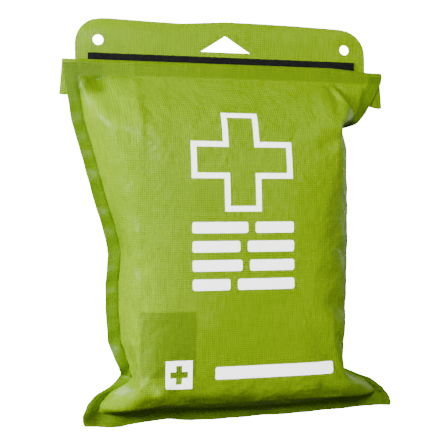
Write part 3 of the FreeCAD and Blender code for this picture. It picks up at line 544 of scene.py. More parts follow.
def buildPouch(spec):
    # two panels that share their welded edge and closed top band, settled together
    s, t = np.meshgrid(*pouchLines(spec))
    front = panelStart(spec, True)
    back = panelStart(spec, False)
    hair = 1e-6               # mm, so that a grid line on a limit counts as inside it
    side, foot = halfWidth - hair, spec["cutLength"] - hair
    shared = (np.abs(s) >= side - spec["weld"]) | (t <= spec["topBand"] + hair) | (t >= foot - spec["weld"])
    free = ~shared
    front[..., 1] = np.where(shared, seamY + seamWave(front, spec), front[..., 1])
    count = s.size
    frontIndex = np.arange(count).reshape(s.shape)
    backIndex = np.where(shared, frontIndex, 0)
    backIndex[free] = count + np.arange(free.sum())
    start = np.concatenate([front.reshape(-1, 3), back[free]])
    flat = np.stack([s, np.zeros_like(s), -t], -1)
    cut = np.concatenate([flat.reshape(-1, 3), flat[free]]) * spec["slack"]
    frontQuads = gridQuads(frontIndex)
    onWeld = shared.ravel()[frontQuads].all(axis=1)
    quads = np.concatenate([frontQuads[:, ::-1], gridQuads(backIndex)[~onWeld]])
    outermost = (np.abs(s) >= side) | (t <= spec["topBand"] - hair) | (t >= foot)
    extra = np.zeros(len(start) - count)
    pinned, welded = (np.concatenate([part.ravel().astype(float), extra]) for part in (outermost, shared))
    # long soft waves both ways give the folds somewhere to begin
    x, z = start[:, 0], start[:, 2]
    across, wide, down, tall = spec["shake"]
    shake = ripple(x + 0.35 * z, 12, across, wide) * ripple(z - 0.3 * x, 13, down, tall)
    start[:, 1] += np.where(welded > 0, 0, shake)
    settled = simulatePouch(spec, start, cut, quads, pinned, welded)
    return (creased(settled[frontIndex], free, spec["frontCreases"], -1),
            creased(settled[backIndex], free, spec["backCreases"], 1), s, t)


def creased(grid, free, creases, outward):
    # a crease is a line on the cloth, its height falling off as exp(-(distance / width)^2) and along it
    x, z = grid[..., 0], grid[..., 2]
    lift = np.zeros_like(x)
    for x0, z0, x1, z1, width, height in creases:
        along = ((x - x0) * (x1 - x0) + (z - z0) * (z1 - z0)) / ((x1 - x0) ** 2 + (z1 - z0) ** 2)
        near = np.clip(along, 0, 1)
        away = np.hypot(x - x0 - near * (x1 - x0), z - z0 - near * (z1 - z0))
        lift += height * np.exp(-(away / width) ** 2) * ease(1.15 - 0.9 * near)
    out = grid.copy()
    out[..., 1] += outward * lift * free
    return out


frontGrid, backGrid, cutAcross, cutDown = buildPouch(pouchSpec)
print("pouch settled")


def cutMap(s, t):
    # the flat cut's coordinates, 0 to 1
    return np.stack([s / cutSize[0] + 0.5, 1.0 - t / cutSize[1]], -1)


fineFront, fineBack = finer(frontGrid), finer(backGrid)
fineAcross, fineDown = finer(cutAcross), finer(cutDown)
fineCut = cutMap(fineAcross, fineDown)


def markWeld(piece, spec):
    # 1 on the welded sides and foot, 0 on the free cloth
    s, t = np.abs(fineAcross).ravel(), fineDown.ravel()
    amount = np.maximum(ease((s - halfWidth + spec["weld"] + 0.6) / 0.8),
                        ease((t - spec["cutLength"] + spec["weld"] + 0.6) / 0.8))
    mark = piece.data.attributes.new("weld", "FLOAT", "POINT")
    mark.data.foreach_set("value", np.concatenate([amount, amount]).astype(np.float32))


frontCloth = ripstop("ripstopFront", cutSize, throughAndShade=True)
headerCloth = ripstop("ripstopHeader", cutSize)


def cutEdgeHighlightFinish():
    # the hot-cut edge: threads end on, glossier than the face, and paler, partly the raw edge's own tone,
    # partly painted highlight where the rim catches the light
    f = Finish("cutEdgeHighlight")
    fray = f.noise(2600.0)
    colour = f.blendColour(fray, (0.30, 0.52, 0.02), (0.42, 0.62, 0.08))
    return f.set(Base_Color=colour, Roughness=0.42, Normal=f.bump(fray, 0.4, 0.0002))


cutEdgeHighlight = cutEdgeHighlightFinish()
backCloth = ripstop("ripstopBack", cutSize)
pouchFront = shell("pouchFront", fineFront, pouchSpec["fabric"], fineCut)
pouchBack = shell("pouchBack", fineBack[:, ::-1], pouchSpec["fabric"], fineCut[:, ::-1])
for piece, side in ((pouchFront, "front"), (pouchBack, "back")):
    markWeld(piece, pouchSpec)
    finish = frontCloth if side == "front" else backCloth
    standIn(piece, [side + "_panel"], (finish, cutEdgeHighlight), "pouch")
print("pouch panels made")


mouthSpec = {"columns": 121, "fabric": 0.6, "flare": 1.6, "tabDrop": 1.0, "tabFrom": 72.5, "tabWiden": 1.1,
             "turn": 5.5}              # mm of cloth that the half circle over the top takes
lipLow, lipHigh = nodeBox("mouth_lip_front")
lipBackLow, lipBackHigh = nodeBox("mouth_lip_back")


def turnedLayer(frontY, rearY, foot, spec, flare):
    # up the pouch's side, half a circle over the top, down behind to the lip's edge
    radius = (rearY - frontY) / 2
    turn = np.linspace(np.pi, 0, 15)
    y = np.concatenate([(frontY + rearY) / 2 + radius * np.cos(turn), np.full(12, rearY)])
    z = np.concatenate([topZ + radius * np.sin(turn), np.linspace(topZ, foot, 13)[1:]])
    x = np.linspace(-halfWidth, halfWidth, spec["columns"])
    yy, xx = spread(y, x)
    zz = spread(z, x)[0]
    path = np.concatenate([[0], np.cumsum(np.hypot(np.diff(y), np.diff(z)))])
    behind = yy > (frontY + rearY) / 2
    fromTop = np.clip((topZ - zz) / (topZ - foot), 0, 1)
    corner = ease((np.abs(xx) - spec["tabFrom"]) / 8) * fromTop
    yy = yy + flare * corner * behind
    soft = ripple(xx, 21, [31.0, 47.0, 83.0], 0.22) * np.sin(np.pi
                                                             * np.clip((zz - topZ + 1) / (radius + 1), 0, 1))
    sag = np.where(xx > 0, -spec["tabDrop"], 0.3) * corner
    wide = xx + np.sign(xx) * spec["tabWiden"] * corner * behind
    grid = np.stack([wide, yy, zz + droop(xx, pouchSpec) + soft + sag], -1)
    return grid, cutMap(xx, -spread(path, x)[0])


def addMouth(spec):
    half = spec["fabric"] / 2
    layers = (("mouthFront", seamY - half, (lipLow[1] + lipHigh[1]) / 2, spec["flare"],
               ("mouth_fold_front", "mouth_lip_front"), frontCloth, "ripstop_front"),
              ("mouthBack", seamY + half, (lipBackLow[1] + lipBackHigh[1]) / 2, -0.15,
               ("mouth_fold_back", "mouth_lip_back"), backCloth, "ripstop_back"))
    for name, frontY, rearY, flare, nodes, finish, slot in layers:
        grid, cut = turnedLayer(frontY, rearY, lipLow[2], spec, flare)
        # the path runs upward, so its normals are turned round
        piece = shell(name, grid[::-1], spec["fabric"], cut[::-1], start=-half)
        standIn(piece, nodes, (finish, cutEdgeHighlight))
        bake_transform(piece)


addMouth(mouthSpec)
print("mouth made")


headerSpec = {"cell": 0.8, "corner": 13.0, "fabric": 0.6, "foldRadius": 1.85, "curlFrom": 2.5, "curl": 0.075,
              "endCurl": 1.1, "turnRows": 9, "turn": 6.0, "snap": 0.74,
              "topEdge": [(-74, 0), (-59, 0.1), (-40, -0.4), (-21, -0.8), (-8, 0.2), (2, 0.9), (20, 0.9),
                          (37, 0.7), (60, 0), (74, 0)],
              "eyelet": 2.5, "eyeletX": 62.5, "triangle": (12.6, -3.7, 4.3)}
tabLow, tabHigh = nodeBox("header_tab")


def triangleDistance(x, z, spec):
    # how far outside a triangle a point is: the greatest of its three edge distances
    half, base, apex = spec["triangle"]
    slope = np.hypot(half, apex - base)
    side = ((apex - base) * (np.abs(x) - half) + half * (z - base)) / slope
    return np.maximum(base - z, side)


def holeDistance(x, z, spec):
    eyelets = np.hypot(np.abs(x) - spec["eyeletX"], z) - spec["eyelet"]
    return np.minimum(eyelets, triangleDistance(x, z, spec))


def snapToHoles(x, z, spec, cell):
    # points close to a hole's edge move along the distance's gradient on to it, and one point to each corner
    for step in range(4):
        d = holeDistance(x, z, spec)
        e = 0.01              # mm, the step for the gradient
        gx = (holeDistance(x + e, z, spec) - holeDistance(x - e, z, spec)) / (2 * e)
        gz = (holeDistance(x, z + e, spec) - holeDistance(x, z - e, spec)) / (2 * e)
        near = np.abs(d) < spec["snap"] * cell if step == 0 else near
        x = np.where(near, x - d * gx, x)
        z = np.where(near, z - d * gz, z)
    half, base, apex = spec["triangle"]
    for cornerX, cornerZ in ((-half, base), (half, base), (0, apex)):
        closest = np.unravel_index(np.argmin(np.hypot(x - cornerX, z - cornerZ)), x.shape)
        x[closest], z[closest] = cornerX, cornerZ
    return x, z


def addHeader(spec):
    # a sheet's grid with the cells in the holes left out, turned under to the lips and curled back at the top
    half = spec["fabric"] / 2
    columns = int((tabHigh[0] - tabLow[0]) / spec["cell"]) + 1
    flatTop, flatFoot = tabHigh[2], tabLow[2]
    rows = int((flatTop - flatFoot) / spec["cell"]) + 1
    z = np.concatenate([np.linspace(flatTop, flatFoot, rows),
                        flatFoot - np.linspace(0, 1, spec["turnRows"])[1:]])
    zz, xx = spread(z, np.linspace(-1, 1, columns))
    inCorner = np.clip(zz - (flatTop - spec["corner"]), 0, spec["corner"])
    wide = tabHigh[0] - spec["corner"] + np.sqrt(np.maximum(spec["corner"] ** 2 - inCorner ** 2, 0))
    xx = xx * wide
    xx, zz = snapToHoles(xx, zz, spec, spec["cell"])
    outside = holeDistance(xx, zz, spec).ravel()
    middle = (tabLow[1] + tabHigh[1]) / 2
    angle = np.clip(flatFoot - zz, 0, 1) * np.pi
    radius = spec["foldRadius"]
    yFold = middle - radius + radius * np.cos(angle)
    zFold = flatFoot - radius * np.sin(angle)
    up = np.maximum(zz - spec["curlFrom"], 0)
    bend = spec["curl"] * (1 - 0.3 * np.exp(-((xx + 8) / 16) ** 2))
    y = middle + bend * up ** 2 / 2 + ripple(xx, 33, [61.0, 97.0], 0.25) * ease(up / 6)
    y = y + spec["endCurl"] * ease((np.abs(xx) - 58) / 16) * ease((zz + 8) / 18)
    turned = zz < flatFoot
    wave = np.interp(xx, *np.array(spec["topEdge"]).T) * ease((zz - 2) / 8)
    grid = np.stack([xx, np.where(turned, yFold, y), np.where(turned, zFold, zz + wave)], -1)
    normal = gridNormals(grid)
    count = xx.size
    quads = gridQuads(np.arange(count).reshape(xx.shape))
    # a cell stays if a corner is clear of the holes and no corner lies well inside one
    quads = quads[(outside[quads] > 0.05).any(axis=1) & (outside[quads] > -0.3).all(axis=1)]
    front, back = quads[:, ::-1] + count, quads
    edges = np.concatenate([quads[:, [0, 1]], quads[:, [1, 2]], quads[:, [2, 3]], quads[:, [3, 0]]])
    code = edges.min(axis=1) * count + edges.max(axis=1)
    first, times = np.unique(code, return_index=True, return_counts=True)[1:]
    rim = edges[first[times == 1]]
    wall = np.stack([rim[:, 1], rim[:, 0], rim[:, 0] + count, rim[:, 1] + count], -1)
    points = np.concatenate([(grid - half * normal).reshape(-1, 3), (grid + half * normal).reshape(-1, 3)])
    cut = cutMap(xx, 60 + tabHigh[2] - zz).reshape(-1, 2)
    used, again = np.unique(np.concatenate([back, front, wall]), return_inverse=True)
    piece = makePiece("headerSheet", points[used], again.reshape(-1, 4), np.concatenate([cut, cut])[used])
    markCutEdge(piece, len(wall))
    standIn(piece, ("header_tab", "header_fold"), (headerCloth, cutEdgeHighlight))
    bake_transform(piece)


addHeader(headerSpec)
print("header made")


tapeSpec = {"hook_strip": {"name": "hookStrip", "body": "header", "slot": "hook_tape", "base": 0.45,
                           "nap": 0.85,
                           "fibres": 4200, "faces": -1, "colour": srgb(9, 9, 9), "seed": 5},
            "loop_strip": {"name": "loopStrip", "body": "mouth_flap", "slot": "loop_tape", "base": 0.4,
                           "nap": 0.65, "fibres": 2600, "faces": 1, "colour": srgb(30, 30, 28), "seed": 6}}


def tapeFinish(name, colour):
    # dark nylon: rows of fine ribs, a little dust, and a soft sheen
    f = Finish(name)
    base = f.blendColour(f.ramp(f.noise(900.0, 4.0), 0.5, 0.95, 0.4), colour, srgb(52, 52, 48))
    ribs = f.add("TexWave", {"Vector": f.place(), "Scale": 700.0, "Distortion": 1.5, "Detail": 1.0},
                 bands_direction="Z")["Fac"]
    return f.set(Base_Color=base, Roughness=0.8, Specular_IOR_Level=0.3, Sheen_Weight=0.06,
                 Sheen_Roughness=0.5, Normal=f.bump(ribs, 0.5, 0.0002))


def napFibres(low, high, spec, surfaceY):
    # every fibre is a bent three-sided tube of four rings: root, two middles and tip on a quarter turn
    draw = np.random.default_rng(spec["seed"])
    count = spec["fibres"]
    root = np.stack([draw.uniform(low[0] + 0.3, high[0] - 0.3, count), np.full(count, surfaceY),
                     draw.uniform(low[2] + 0.2, high[2] - 0.1, count)], -1)
    height = spec["nap"] * draw.uniform(0.55, 0.92, count)
    lean = draw.uniform(0, 2 * np.pi, count)
    reach = draw.uniform(0.15, 0.55, count)
    step = np.linspace(0, 1, 4)
    rise = np.sin(step * np.pi / 2)[None, :] * height[:, None]
    out = (1 - np.cos(step * np.pi / 2))[None, :] * reach[:, None]
    centre = root[:, None, :] + np.stack([out * np.cos(lean)[:, None], spec["faces"] * rise,
                                          out * np.sin(lean)[:, None]], -1)
    around = np.arange(3) * 2 * np.pi / 3
    thick = np.array([0.085, 0.08, 0.07, 0.04])
    ring = np.stack([np.cos(around), np.zeros(3), np.sin(around)], -1) * thick[:, None, None]
    points = (centre[:, :, None, :] + ring).reshape(-1, 3)
    k = np.arange(count)[:, None, None] * 12 + np.arange(3)[None, :, None] * 3
    j = np.arange(3)[None, None, :]
    n = (j + 1) % 3
    quads = np.stack(np.broadcast_arrays(k + j, k + n, k + n + 3, k + j + 3), -1).reshape(-1, 4)
    return points, quads if spec["faces"] > 0 else quads[:, ::-1]


def addTape(node, spec):
    low, high = nodeBox(node)
    base = spec["base"]
    # the woven base lies on the side away from the nap, with a slightly uneven top edge
    face = high[1] - base if spec["faces"] < 0 else low[1] + base
    zz, xx = spread(np.linspace(high[2], low[2], 17), np.linspace(low[0], high[0], 136))
    zz = zz + np.where(zz == high[2], ripple(xx, spec["seed"], [3.1, 5.3, 8.9], 0.16), 0)
    sheet = np.stack([xx, np.full_like(xx, face), zz], -1)
    forward = np.zeros_like(sheet)
    forward[..., 1] = -1.0
    woven = shell("tapeBase", sheet, base, start=-base if spec["faces"] < 0 else 0.0, side=forward)
    points = readPoints(woven.data) / millimetre
    corners = np.empty(len(woven.data.loops), np.int32)
    woven.data.loops.foreach_get("vertex_index", corners)
    bpy.data.objects.remove(woven)
    nap, napQuads = napFibres(low, high, spec, face)
    quads = np.concatenate([corners.reshape(-1, 4), napQuads + len(points)])
    piece = makePiece(spec["name"], np.concatenate([points, nap]), quads)
    standIn(piece, [node], [tapeFinish(spec["name"] + "Nylon", spec["colour"])], spec["body"])


for node, spec in tapeSpec.items():
    addTape(node, spec)
print("touch tape made")


printSpec = {"film": 0.1, "lift": 0.02, "sunk": 0.06, "crossSpan": 48.4, "crossArm": 17.5, "crossLine": 2.6,
             "cell": 0.8,
             "crossTall": 0.93, "crossRise": 1.0,      # the leaning cloth shows the cross shorter and higher
             "captionSplits": (0.58, 0.5, 0.52, 0.4), "captionPitch": 8.2, "captionBar": 4.8,
             "captionGap": 3.6,
             "badgeSize": 12.4, "badgeCross": 8.2, "badgeArm": 2.8, "footBar": 5.6, "footBarLength": 58.0,
             "corner": 1.0}
skinNormal = gridNormals(fineFront)
skin = fineFront + pouchSpec["fabric"] * skinNormal
linesAcross, linesDown = fineAcross[0], fineDown[:, 0]


def onSkin(s, t, lift):
    # the four skin points round a place on the cut, weighted by nearness, then raised along the normal
    i = np.interp(t, linesDown, np.arange(len(linesDown)))
    j = np.interp(s, linesAcross, np.arange(len(linesAcross)))
    i0 = np.clip(i.astype(int), 0, len(linesDown) - 2)
    j0 = np.clip(j.astype(int), 0, len(linesAcross) - 2)
    u, v = (i - i0)[..., None], (j - j0)[..., None]

    def mixed(a):
        return ((1 - u) * (1 - v) * a[i0, j0] + (1 - u) * v * a[i0, j0 + 1]
                + u * (1 - v) * a[i0 + 1, j0] + u * v * a[i0 + 1, j0 + 1])
    return mixed(skin) + lift * mixed(skinNormal)


def cutPlace(x, z):
    # where on the cut a point of the face is: a straight fit of the cut's coordinates to x and z
    face = (np.abs(skin[..., 0] - 1) < 44) & (skin[..., 2] < topZ - 30) & (skin[..., 2] > footZ + 20)
    known = np.stack([np.ones(face.sum()), skin[..., 0][face], skin[..., 2][face]], -1)
    place = np.linalg.lstsq(known, np.stack([fineAcross[face], fineDown[face]], -1), rcond=None)[0]
    return place[0] + place[1] * x + place[2] * z, place


def printPatch(centre, alongX, alongZ):
    # offsets on the cut from a place on the face, as wide and tall as they are on the cloth
    (s0, t0), place = cutPlace(*centre)
    return s0 + alongX * place[1][0], t0 - alongZ * place[1][0]


def ringPatch(outer, inner, centre, cell):
    # a closed outline: corners of the outer and inner polygons joined by evenly cut runs
    rows = []
    for k in range(len(outer)):
        a, b = np.array(outer[k]), np.array(outer[(k + 1) % len(outer)])
        c, d = np.array(inner[k]), np.array(inner[(k + 1) % len(inner)])
        steps = max(2, int(np.linalg.norm(b - a) / cell))
        u = np.linspace(0, 1, steps + 1)[:-1, None, None]
        v = np.linspace(0, 1, 4)[None, :, None]
        rows.append((1 - v) * (a + (b - a) * u) + v * (c + (d - c) * u))
    grid = np.concatenate(rows + [rows[0][:1]])
    return printPatch(centre, grid[..., 0], grid[..., 1])


def plusCorners(span, arm):
    s, a = span / 2, arm / 2
    return [(-a, s), (a, s), (a, a), (s, a), (s, -a), (a, -a), (a, -s), (-a, -s), (-a, -a), (-s, -a),
            (-s, a), (-a, a)]


def barPatch(x0, x1, z0, z1, centre, spec):
    # a bar with rounded ends: the height shrinks as a circle does over the last millimetre
    wide, tall = x1 - x0, z1 - z0
    u = np.linspace(x0, x1, max(4, int(wide / spec["cell"])))
    ends = np.array([0.0, 0.12, 0.3, 0.6]) * spec["corner"]
    u = np.unique(np.concatenate([u, x0 + ends, x1 - ends]))
    v = np.linspace(-1, 1, max(4, int(tall / spec["cell"])))
    into = np.clip(spec["corner"] - np.minimum(u - x0, x1 - u), 0, spec["corner"])
    half = tall / 2 - spec["corner"] + np.sqrt(np.maximum(spec["corner"] ** 2 - into ** 2, 0))
    vv, uu = np.meshgrid(v, u, indexing="ij")
    zz = (z0 + z1) / 2 - vv * half[None, :]
    return printPatch(centre, uu - centre[0], zz - centre[1])


def glowingWhiteInk():
    # slightly chalky screen ink that takes up the cloth's threads; it glows a little, painted light that
    # keeps it bright white
    f = Finish("glowingWhiteInk")
    worn = f.ramp(f.noise(1500.0), 0.55, 0.85, 0.35)
    colour = f.blendColour(worn, srgb(244, 246, 240), srgb(205, 215, 175))
    axis = f.axes(1000 * math.pi / ripstopSpec["threadPitch"])
    threads = f.math("MAXIMUM", f.absSine(axis[0]), f.absSine(axis[2]))
    return f.set(Base_Color=colour, Roughness=0.55, Normal=f.bump(threads, 0.12, 0.0001),
                 Emission_Color=(1, 1, 1, 1), Emission_Strength=2.2)


def addPrint(name, node, patches, ink, spec):
    # Each patch becomes a thin closed film just above the skin. An outline closes on itself: its last row is
    # its first one again, and it has two walls. A bar has one wall round it.
    points, quads, total = [], [], 0
    for s, t in patches:
        points += [onSkin(s, t, lift).reshape(-1, 3)
                   for lift in (spec["lift"] - spec["sunk"], spec["lift"] + spec["film"])]
        index = np.arange(s.size).reshape(s.shape)
        closed = np.allclose([s[0], t[0]], [s[-1], t[-1]])
        rims = [index[:-1, 0], index[:0:-1, -1]] if closed else [gridRim(index)]
        face = gridQuads(index)
        block = np.concatenate([face[:, ::-1] + s.size, face] + [rimWall(rim, s.size) for rim in rims])
        if closed:
            block = np.where((block % s.size) >= index[-1, 0], block - index[-1, 0], block)
        quads.append(block + total)
        total += 2 * s.size
    points, quads = np.concatenate(points), np.concatenate(quads)
    used, again = np.unique(quads, return_inverse=True)
    piece = makePiece(name, points[used], again.reshape(-1, 4))
    standIn(piece, [node], [ink], "pouch")


def addPrints(spec):
    ink = glowingWhiteInk()
    low, high = nodeBox("cross_print")
    middle = ((low[0] + high[0]) / 2, (low[2] + high[2]) / 2 + spec["crossRise"])
    outer, inner = ([(x, z * spec["crossTall"]) for x,
                     z in plusCorners(spec["crossSpan"] - less, spec["crossArm"] - less)]
                    for less in (0, 2 * spec["crossLine"]))
    addPrint("crossPrint", "cross_print", [ringPatch(outer, inner, middle, spec["cell"])], ink, spec)
    low, high = nodeBox("caption_bars")
    centre = ((low[0] + high[0]) / 2, (low[2] + high[2]) / 2)
    bars = []
    for row, split in enumerate(spec["captionSplits"]):
        top = high[2] - row * spec["captionPitch"]
        middle = low[0] + split * (high[0] - low[0])
        for x0, x1 in ((low[0], middle - spec["captionGap"] / 2), (middle + spec["captionGap"] / 2, high[0])):
            bars.append(barPatch(x0, x1, top - spec["captionBar"], top, centre, spec))
    addPrint("captionBars", "caption_bars", bars, ink, spec)
    # the badge is a square with a plus cut out of it, as many points outside as the plus has corners
    low, high = nodeBox("foot_print")
    a, r = spec["badgeArm"] / 2, spec["badgeSize"] / 2
    centre = (low[0] + r, (low[2] + high[2]) / 2)
    square = [(-a, r), (a, r), (r, r), (r, a), (r, -a), (r, -r), (a, -r), (-a, -r), (-r, -r), (-r, -a),
              (-r, a), (-r, r)]
    badge = ringPatch(square, plusCorners(spec["badgeCross"], spec["badgeArm"]), centre, spec["cell"])
    half = spec["footBar"] / 2
    bar = barPatch(high[0] - spec["footBarLength"], high[0], centre[1] - half, centre[1] + half, centre, spec)
    addPrint("footPrint", "foot_print", [badge, bar], ink, spec)


addPrints(printSpec)
print("print made")


def weaveFinish(name, colour, shade, pitch):
    # two crossing sets of threads on object coordinates, with uneven yarn
    f = Finish(name)
    axis = f.axes(1000 * math.pi / pitch)
    threads = f.times(f.absSine(axis[0]), f.absSine(axis[2]))
    amount = f.times(f.plus(threads, f.noise(700.0)), 0.5)
    return f.set(Base_Color=f.blendColour(amount, shade, colour), Roughness=0.9, Sheen_Weight=0.25,
                 Normal=f.bump(threads, 0.6, 0.0003))


def filmFinish(name, colour, shade, rough, metal=0.0, coat=0.3, scale=160.0):
    # printed or metallised film with soft creases and a slightly uneven gloss
    f = Finish(name)
    crease = f.noise(scale, 5.0, 0.6)
    return f.set(Base_Color=f.blendColour(crease, shade, colour), Metallic=metal, Coat_Weight=coat,
                 Coat_Roughness=0.2, Roughness=f.plus(f.times(f.noise(scale * 8, 2.0), 0.15), rough),
                 Normal=f.bump(crease, 0.45, 0.0012))


def paperFinish(name, colour, line, pitch):
    # matt paper with fibres, and pale printed rules every few millimetres
    f = Finish(name)
    fibre = f.noise(1200.0, 4.0)
    rule = f.math("POWER", f.absSine(f.axes(1000 * math.pi / pitch)[2]), 14.0)
    base = f.blendColour(f.times(rule, 0.5), colour, line)
    return f.set(Base_Color=f.blendColour(f.times(fibre, 0.18), base, tuple(c * 0.8 for c in colour)),
                 Roughness=0.8, Normal=f.bump(fibre, 0.25, 0.0001))


def pillow(name, boxes, spec, seed):
    # Each packet is two faces sewn at the rim. Half its thickness falls from the middle as a rounded square
    # does, less fine creases. The crimped ends and rim stay thin and carry small ridges.
    points, quads, total = [], [], 0
    for number, (low, high) in enumerate(boxes):
        size = high - low
        columns, rows = max(14, int(size[0] / spec["cell"])), max(14, int(size[2] / spec["cell"]))
        v, u = spread(np.linspace(-1, 1, rows), np.linspace(-1, 1, columns))
        endZone, sideZone = 1 - spec["crimp"] / (size[2] / 2), 1 - spec["rim"] / (size[0] / 2)
        up = np.clip(np.abs(v) / endZone, 0, 1)
        over = np.clip(np.abs(u) / sideZone, 0, 1)
        body = (1 - up ** spec["square"]) ** 0.5 * (1 - over ** spec["square"]) ** 0.5
        x = low[0] + size[0] * (u + 1) / 2
        z = high[2] - size[2] * (v + 1) / 2
        dents = (ripple(x + 0.6 * z, seed + number, [11.0, 17.0, 26.0], 1)
                 + ripple(z - 0.5 * x, seed + 40, [9.0, 15.0, 31.0], 1))
        half = np.maximum(size[1] / 2 * body * (1 - spec["dent"] * (0.5 + 0.25 * dents)), spec["film"])
        ridge = np.where((np.abs(v) > endZone) | (np.abs(u) > sideZone),
                         np.sin(2 * np.pi * x / 1.6) * spec["ridge"], 0)
        middle = (low[1] + high[1]) / 2 + ridge
        index = np.arange(u.size).reshape(u.shape)
        cells, wall = gridQuads(index), rimWall(gridRim(index), u.size)
        quads.append(np.concatenate([cells[:, ::-1], cells + u.size, wall[:, ::-1]]) + total)
        points += [np.stack([x, middle + side * half, z], -1).reshape(-1, 3) for side in (-1, 1)]
        total += 2 * u.size
    return makePiece(name, np.concatenate(points), np.concatenate(quads))


def stackBoxes(node, count, gap, axis):
    # equal boxes side by side along one axis, sharing the node's box
    low, high = nodeBox(node)
    size = (high[axis] - low[axis] - gap * (count - 1)) / count
    out = []
    for k in range(count):
        a, b = low.copy(), high.copy()
        a[axis] = low[axis] + k * (size + gap)
        b[axis] = a[axis] + size
        out.append((a, b))
    return out


# what most packets have, and then what each one has of its own
packBase = {"count": 1, "axis": 1, "cell": 1.5, "crimp": 4.0, "rim": 0.8, "square": 8, "dent": 0.08,
            "film": 0.2, "ridge": 0.05, "gap": 0.3}
packSpec = {
    "wound_dressing": {"name": "woundDressing", "slot": "pack_film", "cell": 1.3, "crimp": 6.0, "square": 7,
                       "dent": 0.06, "film": 0.25, "ridge": 0.12, "fill": 0.8,
                       "finish": filmFinish("dressingFilm", (0.72, 0.78, 0.82), (0.5, 0.6, 0.68), 0.25)},
    "triangular_bandage": {"name": "triangularBandage", "slot": "pack_film",
                           "crimp": 5.0, "ridge": 0.1, "fill": 0.6,
                           "finish": filmFinish("bandageFilm", (0.80, 0.80, 0.76), (0.62, 0.62, 0.57), 0.3)},
    "rescue_blanket": {"name": "rescueBlanket", "slot": "blanket_foil", "cell": 1.3,
                       "square": 9, "dent": 0.14, "ridge": 0.08, "fill": 0.7,
                       "finish": filmFinish("goldFoil", (0.86, 0.62, 0.22), (0.62, 0.40, 0.10), 0.18, 1.0,
                                            0.0, 240.0)},
    "glove_pack": {"name": "glovePack", "slot": "glove_vinyl", "cell": 1.6, "dent": 0.12, "film": 0.18,
                   "ridge": 0.06, "fill": 0.4,
                   "finish": filmFinish("gloveVinyl", (0.16, 0.33, 0.62), (0.08, 0.2, 0.45), 0.35)},
    "compress_sachets": {"name": "compressSachets", "slot": "sachet_paper", "count": 3,
                         "rim": 4.0, "square": 6, "dent": 0.05, "film": 0.08, "fill": 0.5,
                         "finish": paperFinish("compressPaper", (0.84, 0.85, 0.84), (0.30, 0.52, 0.68),
                                               12.0)},
    "plaster_sachets": {"name": "plasterSachets", "slot": "sachet_paper", "count": 4,
                        "crimp": 3.0, "rim": 3.0, "square": 6, "dent": 0.05, "film": 0.06,
                        "ridge": 0.03, "fill": 0.3,
                        "finish": paperFinish("plasterPaper", (0.86, 0.84, 0.79), (0.66, 0.46, 0.34), 8.0)},
    "cleansing_wipes": {"name": "cleansingWipes", "slot": "sachet_paper", "count": 2, "axis": 0, "cell": 1.6,
                        "crimp": 4.5, "rim": 4.5, "square": 6, "film": 0.08, "fill": 0.5,
                        "finish": paperFinish("wipePaper", (0.83, 0.85, 0.86), (0.20, 0.42, 0.36), 10.0)},
}


def addPacks(specs):
    for seed, (node, own) in enumerate(specs.items()):
        spec = {**packBase, **own}
        boxes = stackBoxes(node, spec["count"], spec["gap"], spec["axis"])
        piece = pillow(spec["name"], boxes, spec, 60 + seed)
        standIn(piece, [node], [spec["finish"]], "pouch")


addPacks(packSpec)

rollSpec = {"turns": 8, "layer": 0.95, "core": 2.7, "wobble": 0.12, "wander": 0.35, "perTurn": 44,
            "names": {"gauze_bandage_short": "gauzeBandageShort", "gauze_bandage_long": "gauzeBandageLong"}}


def addRolls(spec):
    # a strip wound outward: the radius grows with the turned angle, the winding's edges wander a little
    gauze = weaveFinish("gauzeWeave", (0.86, 0.85, 0.82), (0.66, 0.65, 0.61), 0.9)
    for seed, (node, name) in enumerate(spec["names"].items()):
        low, high = nodeBox(node)
        outer = (high[1] - low[1]) / 2 - spec["layer"] / 2 - spec["wobble"]
        wound = 2 * np.pi * spec["turns"]
        aa, xx = spread(np.linspace(0, wound, spec["turns"] * spec["perTurn"]),
                        np.linspace(low[0] + 0.5, high[0] - 0.5, 15))
        first = spec["core"] + spec["layer"] / 2
        radius = first + (outer - first + ripple(aa, 70 + seed, [1.9, 3.1, 5.7], spec["wobble"])) * aa / wound
        shift = ripple(aa, 80 + seed, [2.3, 6.1, 13.0], spec["wander"])
        grid = np.stack([xx + shift, (low[1] + high[1]) / 2 + radius * np.cos(aa),
                         (low[2] + high[2]) / 2 + radius * np.sin(aa)], -1)
        piece = shell(name, grid, spec["layer"], start=-spec["layer"] / 2)
        standIn(piece, [node], (gauze, gauze), "pouch")


addRolls(rollSpec)

leafletSpec = {"layers": 4, "paper": 0.13, "columns": 40, "rows": 60, "topBend": 21.0, "topBack": 2.6,
               "footBend": 5.0, "footBack": 0.5, "insetLow": (1.0, 0.35, 0.4), "insetHigh": (1.0, 0.1, 0.8)}


